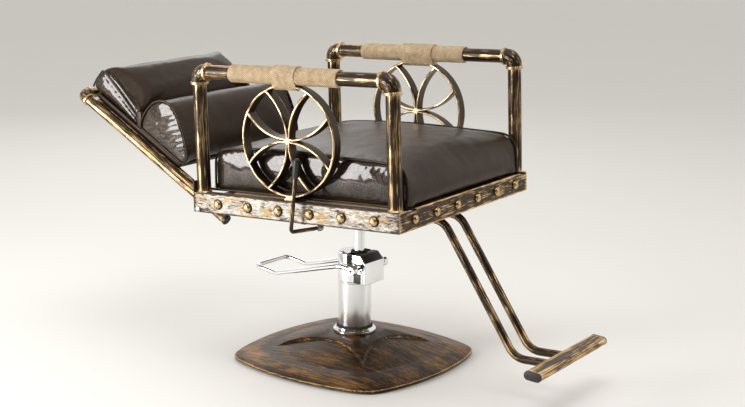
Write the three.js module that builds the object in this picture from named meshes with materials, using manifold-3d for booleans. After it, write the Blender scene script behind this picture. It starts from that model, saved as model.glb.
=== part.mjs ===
// Styling chair with a reclining back, built from pipe, fittings and upholstered pads.
// Millimetres, +Z up. The sitter faces -Y, so +X is the sitter's left.
// Origin: centre of the base on the floor. The pump stands on it, turned a little under the seat.
import * as THREE from 'three';
import { mergeVertices } from 'three/addons/utils/BufferGeometryUtils.js';
import Module from 'manifold-3d';

const wasm = await Module();
wasm.setup();

// ---------- driving dimensions ----------
const gap = 0.3;
const degree = Math.PI / 180;

const pumpYaw = -4 * degree;
const baseHalf = 263;
const baseCorner = 314;
const baseCornerSharpness = 24;
const baseDomeTop = 69;
const tubeRadius = 42;
const headBottom = 201;
const headTop = 275;
const ramRadius = 14;
const ramOffset = -12;

const seatUnderside = 407;
const seatRake = 2.6 * degree;
const frameHalfWidth = 300;
const frameFront = -310;
const frameRear = 281;
const frameHeight = 49;
const memberWidth = 25;
const wall = 2;

const pipeRadius = 16.85;
const pipeBore = 13.6;
const railX = 281;
const railZ = 341;
const frontPostY = -288;
const rearPostY = 264;
const elbowReach = 30;

const wheelRadius = 133;
const wheelBarWidth = 28;
const wheelBarThickness = 6;
const wheelY = -2.5;

const pivotY = 271;
const pivotZ = 7.5;
const reclineAngle = 32.2 * degree;
const backTubeX = 250;
const backTubeOut = -2.8;
const backTubeRadius = 12.25;
const backTubeTop = 483;
const backTubeEnd = -52;
const padRailX = 227.5;
const padRailRadius = 9.3;
const padHalfWidth = 233;
const boardOut = [9, 22];

const strutX = 60;
const lugRadius = 50;
const lugAngle = 235 * degree;
const liftDown = 80;
const footTubeX = 38;
const footTubeRadius = 9.75;
const footTubeZ = -19;

// ---------- materials ----------
const finish = (color, roughness, metalness) => () =>
  new THREE.MeshStandardMaterial({ color, roughness, metalness });
const agedBronze = finish(0x6b5230, 0.42, 0.85);
const baseBronze = finish(0x4a3019, 0.45, 0.5);
const chrome = finish(0xd8d9db, 0.08, 1);
const steel = finish(0x8f9194, 0.35, 0.9);
const castIron = finish(0x3a3a3a, 0.7, 0.6);
const leather = finish(0x3b302b, 0.3, 0);
const jute = finish(0xc4a57b, 0.95, 0);
const blackPlastic = finish(0x141414, 0.4, 0);
const rubber = finish(0x1b1b1b, 0.8, 0);
const plywood = finish(0xb08d5f, 0.75, 0);

// ---------- solids ----------
function solid(geometry) {
  const bare = geometry.clone();
  bare.deleteAttribute('normal');
  bare.deleteAttribute('uv');
  const merged = mergeVertices(bare, 1e-4);
  const mesh = new wasm.Mesh({
    numProp: 3,
    vertProperties: new Float32Array(merged.attributes.position.array),
    triVerts: new Uint32Array(merged.index.array),
  });
  return new wasm.Manifold(mesh);
}

function geometryOf(manifold) {
  const mesh = manifold.getMesh();
  const geometry = new THREE.BufferGeometry();
  geometry.setAttribute('position', new THREE.BufferAttribute(mesh.vertProperties, 3));
  geometry.setIndex(new THREE.BufferAttribute(mesh.triVerts, 1));
  geometry.computeVertexNormals();
  return geometry;
}

function combine(added, removed = []) {
  let body = solid(added[0]);
  for (const geometry of added.slice(1)) {
    body = body.add(solid(geometry));
  }
  for (const geometry of removed) {
    body = body.subtract(solid(geometry));
  }
  return geometryOf(body);
}

// Turned profile of [radius, height] points about +Z.
function turned(profile, segments = 16) {
  const points = profile.map(([r, z]) => new THREE.Vector2(r, z));
  return new THREE.LatheGeometry(points, segments).rotateX(Math.PI / 2);
}

function rod(radius, from, to, segments = 16) {
  return turned([[0, from], [radius, from], [radius, to], [0, to]], segments);
}

function ring(inner, outer, from, to, segments = 16) {
  return turned([[inner, from], [outer, from], [outer, to], [inner, to], [inner, from]], segments);
}

const alongX = (geometry) => geometry.rotateY(Math.PI / 2);
const alongY = (geometry) => geometry.rotateX(-Math.PI / 2);

function box(x, y, z) {
  const geometry = new THREE.BoxGeometry(x[1] - x[0], y[1] - y[0], z[1] - z[0]);
  return geometry.translate((x[0] + x[1]) / 2, (y[0] + y[1]) / 2, (z[0] + z[1]) / 2);
}

// A side outline in (Y, Z), drawn as a THREE.Shape, extruded along X between two planes.
function sideSlab(shape, x0, x1, curveSegments = 12) {
  const options = { depth: x1 - x0, bevelEnabled: false, curveSegments };
  const geometry = new THREE.ExtrudeGeometry(shape, options);
  return geometry.rotateY(Math.PI / 2).rotateX(Math.PI / 2).translate(x0, 0, 0);
}

// The same, with its two side edges rounded over.
function paddedSlab(shape, x0, x1, edge, curveSegments = 5) {
  const options = {
    depth: x1 - x0 - 2 * edge,
    bevelThickness: edge,
    bevelSize: edge,
    bevelOffset: -edge,
    bevelSegments: 2,
    curveSegments,
  };
  const geometry = new THREE.ExtrudeGeometry(shape, options);
  return geometry.rotateY(Math.PI / 2).rotateX(Math.PI / 2).translate(x0 + edge, 0, 0);
}

function polygon(points) {
  return new THREE.Shape(points.map(([a, b]) => new THREE.Vector2(a, b)));
}

function circleShape(radius, sides) {
  const points = [];
  for (let i = 0; i < sides; i += 1) {
    const angle = (i / sides) * 2 * Math.PI;
    points.push([radius * Math.cos(angle), radius * Math.sin(angle)]);
  }
  return polygon(points);
}

// A path through corner points, each corner rounded by the given setback.
function roundedPath(corners, setback) {
  const path = new THREE.CurvePath();
  const points = corners.map((corner) => new THREE.Vector3(...corner));
  let start = points[0];
  for (let i = 1; i < points.length - 1; i += 1) {
    const toLast = points[i - 1].clone().sub(points[i]).normalize();
    const toNext = points[i + 1].clone().sub(points[i]).normalize();
    const entry = points[i].clone().addScaledVector(toLast, setback);
    const exit = points[i].clone().addScaledVector(toNext, setback);
    path.add(new THREE.LineCurve3(start, entry));
    path.add(new THREE.QuadraticBezierCurve3(entry, points[i], exit));
    start = exit;
  }
  path.add(new THREE.LineCurve3(start, points[points.length - 1]));
  return path;
}

function bentRod(path, radius, steps, sides = 8) {
  return new THREE.ExtrudeGeometry(circleShape(radius, sides), { extrudePath: path, steps });
}

function bentTube(path, radius, bore, steps, sides = 8) {
  const shape = circleShape(radius, sides);
  shape.holes.push(circleShape(bore, sides));
  return new THREE.ExtrudeGeometry(shape, { extrudePath: path, steps });
}

function mesh(name, geometry, material) {
  const node = new THREE.Mesh(geometry, material());
  node.name = name;
  return node;
}

function group(...children) {
  const holder = new THREE.Group();
  holder.add(...children);
  return holder;
}

const sides = [
  { label: 'left', sign: 1 },
  { label: 'right', sign: -1 },
];

// ---------- base ----------
// Radial stretch that turns a circle into a square with bowed sides and rounded corners. Each side
// is the arc through its own middle and the two corners; neighbouring sides blend at the corner.
function squareness(angle) {
  const half = baseCorner * Math.SQRT1_2;
  const sagitta = baseHalf - half;
  const arcRadius = (half ** 2 + sagitta ** 2) / (2 * sagitta);
  const setback = arcRadius - baseHalf;
  const side = (cosine) => Math.sqrt(setback ** 2 * (cosine ** 2 - 1) + arcRadius ** 2) - setback * cosine;
  const k = baseCornerSharpness;
  const sum = side(Math.abs(Math.cos(angle))) ** -k + side(Math.abs(Math.sin(angle))) ** -k;
  return sum ** (-1 / k) / baseHalf;
}

function bowSquare(geometry, fromRadius, toRadius) {
  const position = geometry.attributes.position;
  for (let i = 0; i < position.count; i += 1) {
    const x = position.getX(i);
    const y = position.getY(i);
    const blend = THREE.MathUtils.smoothstep(Math.hypot(x, y), fromRadius, toRadius);
    const stretch = 1 + (squareness(Math.atan2(y, x)) - 1) * blend;
    position.setXY(i, x * stretch, y * stretch);
  }
  geometry.computeVertexNormals();
  return geometry;
}

function baseCover() {
  const rim = baseHalf;
  const outer = [
    [rim, 5], [rim, 9], [rim - 6, 12], [rim - 50, 25], [rim - 110, 43], [rim - 164, 60], [54, baseDomeTop],
  ];
  const inner = [[44, baseDomeTop - 0.5], [44, 65], [rim - 166, 56], [rim - 112, 39], [rim - 52, 21], [rim - 8, 8], [rim - 6, 5]];
  const cover = turned([...outer, ...inner, outer[0]], 36);
  return mesh('base_cover', bowSquare(cover, 60, rim), baseBronze);
}

function base() {
  const weight = bowSquare(rod(baseHalf - 62, 0, 12, 32), 60, baseHalf - 62);
  const footRing = bowSquare(ring(baseHalf - 58, baseHalf - 48, 0, 9, 32), 60, baseHalf - 53);
  return group(
    baseCover(),
    mesh('base_weight', weight, castIron),
    mesh('base_foot_ring', footRing, rubber),
  );
}

// ---------- pump ----------
const pedalAxisY = -40;
const pedalAxisZ = 242;
const pedalArmX = 62;

function pumpHead() {
  const outline = polygon([
    [0, headTop], [0, 203], [-62, 203], [-62, 258], [-45, headTop],
  ]);
  const barrel = rod(tubeRadius + 2, headBottom + gap, headTop, 24);
  const ramBore = rod(ramRadius + 0.5, headBottom - 5, headTop + 5).translate(0, ramOffset, 0);
  const recess = rod(tubeRadius - 6, headBottom - 5, headBottom + 18);
  const pinBore = alongX(rod(6.3, -60, 60, 16)).translate(0, pedalAxisY, pedalAxisZ);
  const insertSeat = box([-33, 33], [-70, -30], [266.5, 290]);
  const block = sideSlab(outline, -39, 39);
  return combine([barrel, block], [ramBore, recess, pinBore, insertSeat]);
}

function pump() {
  const flange = turned([
    [tubeRadius + 0.4, baseDomeTop + gap], [54, baseDomeTop + gap], [54, 75], [50, 81],
    [tubeRadius + 0.4, 81], [tubeRadius + 0.4, baseDomeTop + gap],
  ], 24);
  const tube = turned([
    [0, 12 + gap], [tubeRadius, 12 + gap], [tubeRadius, headBottom], [tubeRadius - 5, headBottom],
    [tubeRadius - 5, 17], [0, 17],
  ], 24);
  const cylinder = ring(ramRadius + 3, ramRadius + 6, 17 + gap, 198);
  cylinder.translate(0, ramOffset, 0);
  const gland = ring(ramRadius + 0.5, 21, headTop + gap, headTop + 4).translate(0, ramOffset, 0);
  const insert = sideSlab(polygon([[-33, 267], [-33, 275.6], [-45, 275.6], [-53.5, 267]]), -32, 32);
  const pin = alongX(rod(6, -72, 72, 16)).translate(0, pedalAxisY, pedalAxisZ);
  return group(
    mesh('pump_flange', flange, chrome),
    mesh('pump_tube', tube, chrome),
    mesh('pump_cylinder', cylinder, steel),
    mesh('pump_head', pumpHead(), chrome),
    mesh('pump_head_insert', insert, blackPlastic),
    mesh('ram_gland', gland, rubber),
    mesh('pedal_pin', pin, steel),
  );
}

// A closed loop of rod on two bosses that turn on the pin.
function pumpPedal() {
  const corners = [
    [-pedalArmX, pedalAxisY + 8, pedalAxisZ + 2],
    [-pedalArmX, 2, 248],
    [-pedalArmX, 212, 193],
    [-pedalArmX, 279, 203],
    [pedalArmX, 279, 203],
    [pedalArmX, 212, 193],
    [pedalArmX, 2, 248],
    [pedalArmX, pedalAxisY + 8, pedalAxisZ + 2],
  ];
  const loop = bentRod(roundedPath(corners, 14), 5.75, 40);
  const bosses = [];
  const bores = [];
  for (const { sign } of sides) {
    const boss = alongX(rod(12, -8, 8, 20)).translate(sign * pedalArmX, pedalAxisY, pedalAxisZ);
    const bore = alongX(rod(6.3, -20, 20, 16)).translate(sign * pedalArmX, pedalAxisY, pedalAxisZ);
    bosses.push(boss);
    bores.push(bore);
  }
  return mesh('pump_pedal', combine([loop, ...bosses], bores), chrome);
}

// ---------- ram ----------
const socketDepth = 22;
const ramFoot = 17 + liftDown + 7;

function ram() {
  const piston = ramRadius + 2.7;
  const profile = [
    [0, ramFoot], [piston, ramFoot], [piston, ramFoot + 16], [ramRadius, ramFoot + 16],
    [ramRadius, seatUnderside - socketDepth], [12, seatUnderside + 6], [0, seatUnderside + 6],
  ];
  return mesh('ram', turned(profile).translate(0, ramOffset, 0), chrome);
}

// ---------- seat frame ----------
const studRadius = 9.5;
const studRows = 6;
const sideStudPitch = 90;
const frontStudPitch = 94.4;

function stud() {
  const profile = [[0, -1], [studRadius, -1], [studRadius, 1], [6, 6], [0, 7.6]];
  return turned(profile, 8);
}

function studPlaces(pitch) {
  return Array.from({ length: studRows }, (_, i) => (i - (studRows - 1) / 2) * pitch);
}

// Rectangular tube with mitred ends: plan corners in (X, Y), open along its length.
function boxTube(outerPlan, innerPlan) {
  const extrude = (plan, depth) => new THREE.ExtrudeGeometry(polygon(plan), { depth, bevelEnabled: false });
  const outer = extrude(outerPlan, frameHeight);
  const inner = extrude(innerPlan, frameHeight - 2 * wall).translate(0, 0, wall);
  return { outer, inner };
}

function sideMember({ label, sign }) {
  const out = frameHalfWidth;
  const inn = frameHalfWidth - memberWidth;
  const front = frameFront + gap;
  const mitre = memberWidth;
  const overrun = 5;
  const order = (plan) => (sign > 0 ? plan : plan.reverse()).map(([x, y]) => [sign * x, y]);
  const { outer, inner } = boxTube(
    order([[out, front], [out, frameRear], [inn, frameRear], [inn, front + mitre]]),
    order([
      [out - wall, front + wall - overrun], [out - wall, frameRear + overrun],
      [inn + wall, frameRear + overrun], [inn + wall, front + mitre - wall - overrun],
    ]),
  );
  const endPlate = box([inn, out], [frameRear - 0.01, frameRear + 4], [0, frameHeight + 27]);
  endPlate.scale(sign, 1, 1);
  if (sign < 0) {
    flip(endPlate);
  }
  const studs = studPlaces(sideStudPitch).map((y) => {
    const shape = alongX(stud());
    shape.rotateZ(sign > 0 ? 0 : Math.PI);
    return shape.translate(sign * out, -17 + y, frameHeight / 2);
  });
  const pivotBore = alongX(rod(4.3, -400, 400, 16)).translate(0, pivotY, pivotZ);
  const added = [combine([outer], [inner]), endPlate, ...studs];
  const removed = [pivotBore];
  if (sign < 0) {
    const bracket = leverBracket();
    added.push(...bracket.added);
    removed.push(bracket.bore);
  }
  const welded = combine(added, removed);
  return mesh(`frame_side_${label}`, welded, agedBronze);
}

// Reverses the winding of a mirrored geometry.
function flip(geometry) {
  const index = geometry.index.array;
  for (let i = 0; i < index.length; i += 3) {
    [index[i], index[i + 1]] = [index[i + 1], index[i]];
  }
  return geometry;
}

function frontMember() {
  const out = frameHalfWidth - gap;
  const inn = frameHalfWidth - memberWidth - gap;
  const front = frameFront;
  const overrun = 5;
  const { outer, inner } = boxTube(
    [[-out, front], [out, front], [inn, front + memberWidth], [-inn, front + memberWidth]],
    [
      [-out - overrun, front + wall], [out + overrun, front + wall],
      [inn + overrun, front + memberWidth - wall], [-inn - overrun, front + memberWidth - wall],
    ],
  );
  const studs = studPlaces(frontStudPitch).map((x) => {
    const shape = stud().rotateX(Math.PI / 2);
    return shape.translate(x, front, frameHeight / 2);
  });
  const geometry = combine([outer], [inner]);
  return mesh('frame_front', combine([geometry, ...studs]), agedBronze);
}

function crossTube(name, yRange, zRange) {
  const half = frameHalfWidth - memberWidth - gap;
  const bore = box([-half - 5, half + 5], [yRange[0] + wall, yRange[1] - wall], [zRange[0] + wall, zRange[1] - wall]);
  return mesh(name, combine([box([-half, half], yRange, zRange)], [bore]), agedBronze);
}

const rearMemberY = [184, 209];
const beamBottom = 16.7;
const beamTop = 36.7;
const frontBeamY = [-185, -155];
const rearBeamY = [60, 90];

// Front cross beam with the socket block that holds the footrest tubes welded under it.
function frontBeam() {
  const half = frameHalfWidth - memberWidth - gap;
  const [front, rear] = frontBeamY;
  const beam = box([-half, half], frontBeamY, [beamBottom, beamTop]);
  const hollow = box([-half - 5, half + 5], [front + wall, rear - wall], [beamBottom + wall, beamTop - wall]);
  const block = box([-62, 62], frontBeamY, [footTubeZ - 14, beamBottom + 1]);
  const bores = sides.map(({ sign }) => {
    const bore = alongY(rod(footTubeRadius + gap, -250, -100));
    return bore.translate(sign * footTubeX, 0, footTubeZ);
  });
  return mesh('seat_beam_front', combine([beam, block], [hollow, ...bores]), agedBronze);
}

const strutPinY = -38;
const strutZ = -35;

// Plate under the two beams, the taper socket on the ram and the lug of the gas spring.
function seatMount() {
  const plateTop = beamBottom - gap;
  const plate = box([-80, 80], [-120, rearBeamY[1]], [plateTop - 6, plateTop]);
  const socket = turned([[0, -socketDepth + 1], [25, -socketDepth + 1], [31, plateTop - 1], [0, plateTop - 1]]);
  const ramSocket = turned([
    [0, -socketDepth - 30], [ramRadius + gap, -socketDepth - 30], [ramRadius + gap, -socketDepth],
    [12 + gap + 0.4, 6 + gap], [0, 6 + gap],
  ]);
  socket.rotateX(seatRake);
  ramSocket.rotateX(seatRake);
  const ears = [-1, 1].map((sign) => {
    const x = strutX + sign * 11;
    return box([x - 2.5, x + 2.5], [strutPinY - 12, strutPinY + 12], [strutZ - 10, plateTop - 3]);
  });
  const pin = alongX(rod(4, strutX - 12, strutX + 12, 16)).translate(0, strutPinY, strutZ);
  return mesh('seat_mount', combine([plate, socket, ...ears, pin], [ramSocket]), steel);
}

// ---------- arms ----------
// Cast elbow in the YZ plane with a bead at each mouth; its legs run to -Z and +Y.
function elbow(reach, body, bead) {
  const beadWidth = 7;
  const bend = reach - beadWidth;
  const arc = new THREE.CurvePath();
  const curve = new THREE.QuadraticBezierCurve3(
    new THREE.Vector3(0, 0, -bend),
    new THREE.Vector3(0, 0, 0),
    new THREE.Vector3(0, bend, 0),
  );
  arc.add(new THREE.LineCurve3(new THREE.Vector3(0, 0, -reach), curve.v0));
  arc.add(curve);
  arc.add(new THREE.LineCurve3(curve.v2, new THREE.Vector3(0, reach, 0)));
  const outer = bentRod(arc, body, 7, 12);
  const lower = rod(bead, -reach, -reach + beadWidth, 14);
  const upper = alongY(rod(bead, reach - beadWidth, reach, 14));
  return combine([outer, lower, upper]);
}

function armElbow(name, x, y, turn) {
  const geometry = elbow(elbowReach, 19, 22);
  geometry.rotateZ(turn).translate(x, y, railZ);
  return mesh(name, geometry, agedBronze);
}

function arcBar(radius, thickness, from, to, segments) {
  const shape = new THREE.Shape();
  shape.absarc(0, 0, radius + thickness / 2, from, to, false);
  shape.absarc(0, 0, radius - thickness / 2, to, from, true);
  return sideSlab(shape, -wheelBarWidth / 2, wheelBarWidth / 2, segments);
}

// Flat-bar ring with a foot on the frame, and four arcs inside it that bow in to touch at the hub.
function wheel({ label, sign }) {
  const inner = wheelRadius - wheelBarThickness;
  const arcRadius = 1.066 * wheelRadius;
  const centre = arcRadius + wheelBarThickness / 2 - 0.8;
  const reach = Math.acos((inner ** 2 - centre ** 2 - arcRadius ** 2) / (-2 * centre * arcRadius));
  const arcs = [];
  for (let i = 0; i < 4; i += 1) {
    const arc = arcBar(arcRadius, wheelBarThickness, Math.PI - reach - 0.06, Math.PI + reach + 0.06, 7);
    arcs.push(arc.translate(0, centre, 0).rotateX(i * Math.PI / 2));
  }
  const trim = ringBar(wheelBarThickness + 2 * gap).scale(1.2, 1, 1);
  const beyond = ringBar(wheelBarThickness, 2 * wheelBarThickness).scale(1.2, 1, 1);
  const half = wheelBarWidth / 2;
  const foot = box([-half, half], [-16, 16], [frameHeight + gap - wheelZ, -wheelRadius + 3]);
  const place = (geometry) => geometry.translate(sign * railX, wheelY, wheelZ);
  return group(
    mesh(`wheel_ring_${label}`, place(combine([ringBar(wheelBarThickness), foot])), agedBronze),
    mesh(`wheel_arcs_${label}`, place(combine(arcs, [trim, beyond])), agedBronze),
  );
}

const wheelZ = railZ - pipeRadius - wheelRadius - gap;

function ringBar(thickness, outward = 0) {
  const middle = wheelRadius - wheelBarThickness / 2 + outward / 2;
  const shape = new THREE.Shape();
  shape.absarc(0, 0, middle + thickness / 2 + outward / 2, 0, 2 * Math.PI, false);
  const hole = new THREE.Path();
  hole.absarc(0, 0, middle - thickness / 2, 0, 2 * Math.PI, true);
  shape.holes.push(hole);
  return sideSlab(shape, -wheelBarWidth / 2, wheelBarWidth / 2, 16);
}

const wrapRange = [-148, 163];
const lashRange = [-37, 47];
const wrapRadius = 21.5;
const lashFoot = 18.5;

// Cord wound round the rail, and round rail and wheel together in the middle.
function ropeWrap({ label, sign }) {
  const sleeve = alongY(rod(wrapRadius, wrapRange[0], wrapRange[1], 20));
  const lash = new THREE.Shape();
  lash.absarc(0, 0, wrapRadius + 1, 0, Math.PI, false);
  lash.lineTo(-lashFoot, lashFoot - 40);
  lash.absarc(0, lashFoot - 40, lashFoot, Math.PI, 2 * Math.PI, false);
  const options = { depth: lashRange[1] - lashRange[0], bevelEnabled: false, curveSegments: 8 };
  const lashBody = new THREE.ExtrudeGeometry(lash, options).rotateX(Math.PI / 2);
  lashBody.translate(0, lashRange[1], 0);
  const railBore = alongY(rod(pipeRadius + gap, wrapRange[0] - 5, wrapRange[1] + 5));
  const seat = ringBar(wheelBarThickness + 2 * gap).scale(1 + 2 * gap / wheelBarWidth, 1, 1);
  seat.translate(0, wheelY, wheelZ - railZ);
  const geometry = combine([sleeve, lashBody], [railBore, seat]);
  return mesh(`rope_wrap_${label}`, geometry.translate(sign * railX, 0, railZ), jute);
}

function arm(side) {
  const x = side.sign * railX;
  const postTop = railZ - elbowReach - gap;
  const post = () => ring(pipeBore, pipeRadius, frameHeight + gap, postTop);
  const railFrom = frontPostY + elbowReach + gap;
  const railTo = rearPostY - elbowReach - gap;
  const rail = alongY(ring(pipeBore, pipeRadius, railFrom, railTo)).translate(x, 0, railZ);
  return group(
    mesh(`arm_post_front_${side.label}`, post().translate(x, frontPostY, 0), agedBronze),
    mesh(`arm_post_rear_${side.label}`, post().translate(x, rearPostY, 0), agedBronze),
    armElbow(`arm_elbow_front_${side.label}`, x, frontPostY, 0),
    armElbow(`arm_elbow_rear_${side.label}`, x, rearPostY, Math.PI),
    mesh(`arm_rail_${side.label}`, rail, agedBronze),
    wheel(side),
    ropeWrap(side),
  );
}

// ---------- seat pad ----------
const cushionHalfWidth = 262;

function seatPad() {
  const board = box([-268, 268], [frameFront + memberWidth + 2, rearMemberY[0] - 2], [beamTop + gap, frameHeight]);
  const bottom = frameHeight + gap;
  const top = 152;
  const front = frameFront + 5;
  const rear = 246;
  const outline = new THREE.Shape();
  outline.moveTo(front + 20, bottom);
  outline.lineTo(rear - 20, bottom);
  outline.quadraticCurveTo(rear, bottom, rear, bottom + 20);
  outline.lineTo(rear, top - 42);
  outline.quadraticCurveTo(rear - 2, top - 6, rear - 36, top - 4);
  outline.quadraticCurveTo(-30, top + 10, front + 46, top - 2);
  outline.quadraticCurveTo(front + 2, top - 6, front, top - 46);
  outline.lineTo(front, bottom + 20);
  outline.quadraticCurveTo(front, bottom, front + 20, bottom);
  return group(
    mesh('seat_board', board, plywood),
    mesh('seat_cushion', paddedSlab(outline, -cushionHalfWidth, cushionHalfWidth, 6), leather),
  );
}

// ---------- footrest ----------
const footBarCentre = [0, -572, -325];
const footLevel = -333.5;
const footBarHalf = 167;

function footBarShape(width, height) {
  const shape = new THREE.Shape();
  const flat = (width - height) / 2;
  shape.absarc(flat, 0, height / 2, -Math.PI / 2, Math.PI / 2, false);
  shape.absarc(-flat, 0, height / 2, Math.PI / 2, 1.5 * Math.PI, false);
  return shape;
}

function footrest() {
  const tubes = sides.map(({ label, sign }) => {
    const x = sign * footTubeX;
    const corners = [
      [x, -125, footTubeZ], [x, -266, footTubeZ], [x, -456, footLevel], [x, footBarCentre[1] + 22.3, footLevel],
    ];
    const path = roundedPath(corners, 24);
    return mesh(`footrest_tube_${label}`, bentTube(path, footTubeRadius, footTubeRadius - 2, 21), agedBronze);
  });
  const bar = sideSlab(footBarShape(44, 21), -footBarHalf, footBarHalf, 6);
  const barBore = sideSlab(footBarShape(40, 17), -footBarHalf - 5, footBarHalf + 5, 6);
  const place = (geometry) => geometry.rotateX(0.12).translate(...footBarCentre);
  const caps = sides.map(({ label, sign }) => {
    const cap = sideSlab(footBarShape(44, 21), footBarHalf + gap, footBarHalf + 6, 6);
    if (sign < 0) {
      cap.rotateZ(Math.PI);
    }
    return mesh(`footbar_cap_${label}`, place(cap), blackPlastic);
  });
  return group(
    ...tubes,
    mesh('footbar', place(combine([bar], [barBore])), agedBronze),
    ...caps,
  );
}

// ---------- recline lever ----------
const leverRadius = 4.75;
const leverBarrelAt = 92;
const leverTop = [-322, -49, 157];
const leverBend = [-322, -24, -17];
const leverEnd = [-219, -40, -24];
const gripLength = 45;

function leverParts() {
  const top = new THREE.Vector3(...leverTop);
  const up = top.clone().sub(new THREE.Vector3(...leverBend)).normalize();
  const gripLow = top.clone().addScaledVector(up, -gripLength);
  const shaftEnd = gripLow.clone().addScaledVector(up, 20);
  const rodPath = roundedPath([shaftEnd.toArray(), leverBend, leverEnd], 9);
  const shaft = mesh('recline_lever', bentRod(rodPath, leverRadius, 18, 7), agedBronze);
  const profile = [
    [0, 0], [7, 0], [8.6, 4], [8.6, gripLength - 4], [6, gripLength], [0, gripLength],
  ];
  const grip = combine([turned(profile)], [rod(leverRadius + 2 * gap, -5, 22)]);
  grip.applyQuaternion(new THREE.Quaternion().setFromUnitVectors(new THREE.Vector3(0, 0, 1), up));
  grip.translate(gripLow.x, gripLow.y, gripLow.z);
  return group(shaft, mesh('recline_lever_grip', grip, blackPlastic));
}

// Barrel that the lever turns in, on a tab welded under the right side member.
function leverBracket() {
  const start = new THREE.Vector3(...leverBend);
  const direction = new THREE.Vector3(...leverEnd).sub(start).normalize();
  const turn = new THREE.Quaternion().setFromUnitVectors(new THREE.Vector3(0, 0, 1), direction);
  const centre = start.clone().addScaledVector(direction, leverBarrelAt);
  const seated = (geometry) => geometry.applyQuaternion(turn).translate(centre.x, centre.y, centre.z);
  const barrel = seated(rod(7.5, -8, 8));
  const bore = seated(rod(leverRadius + 0.35, -20, 20));
  const tab = box([-292, centre.x + 5], [centre.y - 6, centre.y + 6], [-3, 0.5]);
  const web = box([centre.x - 4, centre.x + 4], [centre.y - 5, centre.y + 5], [centre.z, -1]);
  return { added: [barrel, tab, web], bore };
}

// Bowden cable from the lever to the release head of the gas spring.
function releaseCable() {
  const path = new THREE.CatmullRomCurve3([
    new THREE.Vector3(-208, -60, 4),
    new THREE.Vector3(-150, -92, 2),
    new THREE.Vector3(-40, -104, -6),
    new THREE.Vector3(40, -90, -16),
    new THREE.Vector3(strutX, -64, strutZ),
  ]);
  return mesh('release_cable', bentRod(path, 2.5, 22, 6), blackPlastic);
}

// ---------- reclining back ----------
function backFrame() {
  const tubeLow = backTubeEnd;
  const reach = 26;
  const barHalf = backTubeX - reach - gap;
  const tubes = sides.map(({ label, sign }) => {
    const x = sign * backTubeX;
    const pipe = alongY(ring(backTubeRadius - 2.2, backTubeRadius, tubeLow, backTubeTop - reach - gap));
    const bore = alongX(rod(4.3, -20, 20, 16)).translate(0, 0, -backTubeOut);
    return mesh(`back_tube_${label}`, combine([pipe], [bore]).translate(x, 0, backTubeOut), agedBronze);
  });
  const elbows = sides.map(({ label, sign }) => {
    const geometry = orientElbow(elbow(reach, 14.5, 17), sign);
    return mesh(`back_elbow_${label}`, geometry, agedBronze);
  });
  const caps = sides.map(({ label, sign }) => {
    const cap = alongY(rod(backTubeRadius + 0.7, tubeLow - 7, tubeLow - gap, 18));
    return mesh(`back_tube_cap_${label}`, cap.translate(sign * backTubeX, 0, backTubeOut), blackPlastic);
  });
  const topBar = alongX(ring(backTubeRadius - 2.2, backTubeRadius, -barHalf, barHalf));
  topBar.translate(0, backTubeTop, backTubeOut);
  return group(...tubes, ...elbows, ...caps, mesh('back_top_bar', topBar, agedBronze));
}

// Turns the elbow so that its legs run down the tube and across toward the middle.
function orientElbow(geometry, sign) {
  const across = new THREE.Vector3(-sign, 0, 0);
  const down = new THREE.Vector3(0, -1, 0);
  const third = new THREE.Vector3().crossVectors(across, down.clone().negate());
  const basis = new THREE.Matrix4().makeBasis(third, across, down.clone().negate());
  return geometry.applyMatrix4(basis).translate(sign * backTubeX, backTubeTop, backTubeOut);
}

// Cross tube on the pivot line with the two rails that carry the pads and the gas spring's lug.
function innerFrame() {
  const half = backTubeX - backTubeRadius - gap;
  const bar = alongX(rod(11, -half, half));
  const rails = sides.map(({ sign }) => {
    return alongY(rod(padRailRadius, 0, 446)).translate(sign * padRailX, 0, -1);
  });
  const lug = lugPlace();
  const arms = [-1, 1].map((sign) => {
    const x = strutX + sign * 9;
    const plate = box([x - 2.5, x + 2.5], [-9, 9], [-lugRadius, 0]);
    return plate.rotateX(lug.turn);
  });
  const eyes = [-1, 1].map((sign) => {
    const x = strutX + sign * 9;
    return alongX(rod(10, x - 2.5, x + 2.5, 16)).translate(0, lug.y, lug.z);
  });
  const pin = alongX(rod(4, strutX - 11, strutX + 11, 16)).translate(0, lug.y, lug.z);
  return mesh('back_inner_frame', combine([bar, ...rails, ...arms, ...eyes, pin]), agedBronze);
}

// Lug pin in the back's own frame, and the turn that brings a plate from -Z onto it.
function lugPlace() {
  const angle = lugAngle - reclineAngle;
  const y = lugRadius * Math.cos(angle);
  const z = lugRadius * Math.sin(angle);
  return { y, z, turn: angle + Math.PI / 2 };
}

function backPads() {
  const board = box([-padHalfWidth, padHalfWidth], [140, 452], boardOut);
  const bed = boardOut[1] + gap;
  const head = new THREE.Shape();
  head.moveTo(318, bed);
  head.lineTo(462, bed);
  head.quadraticCurveTo(474, bed + 4, 476, bed + 22);
  head.quadraticCurveTo(476, 78, 452, 80);
  head.quadraticCurveTo(384, 90, 322, 72);
  head.quadraticCurveTo(306, 64, 306, bed + 14);
  head.quadraticCurveTo(306, bed, 318, bed);
  const bolster = new THREE.Shape();
  bolster.moveTo(146, bed);
  bolster.lineTo(284, bed);
  bolster.quadraticCurveTo(296, bed + 10, 294, 62);
  bolster.quadraticCurveTo(288, 126, 244, 130);
  bolster.quadraticCurveTo(196, 118, 152, 70);
  bolster.quadraticCurveTo(126, 36, 146, bed);
  return group(
    mesh('back_board', board, plywood),
    mesh('head_pad', paddedSlab(head, -padHalfWidth + 1, padHalfWidth - 1, 4), leather),
    mesh('back_bolster', paddedSlab(bolster, -padHalfWidth + 3, padHalfWidth - 3, 4), leather),
  );
}

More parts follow.
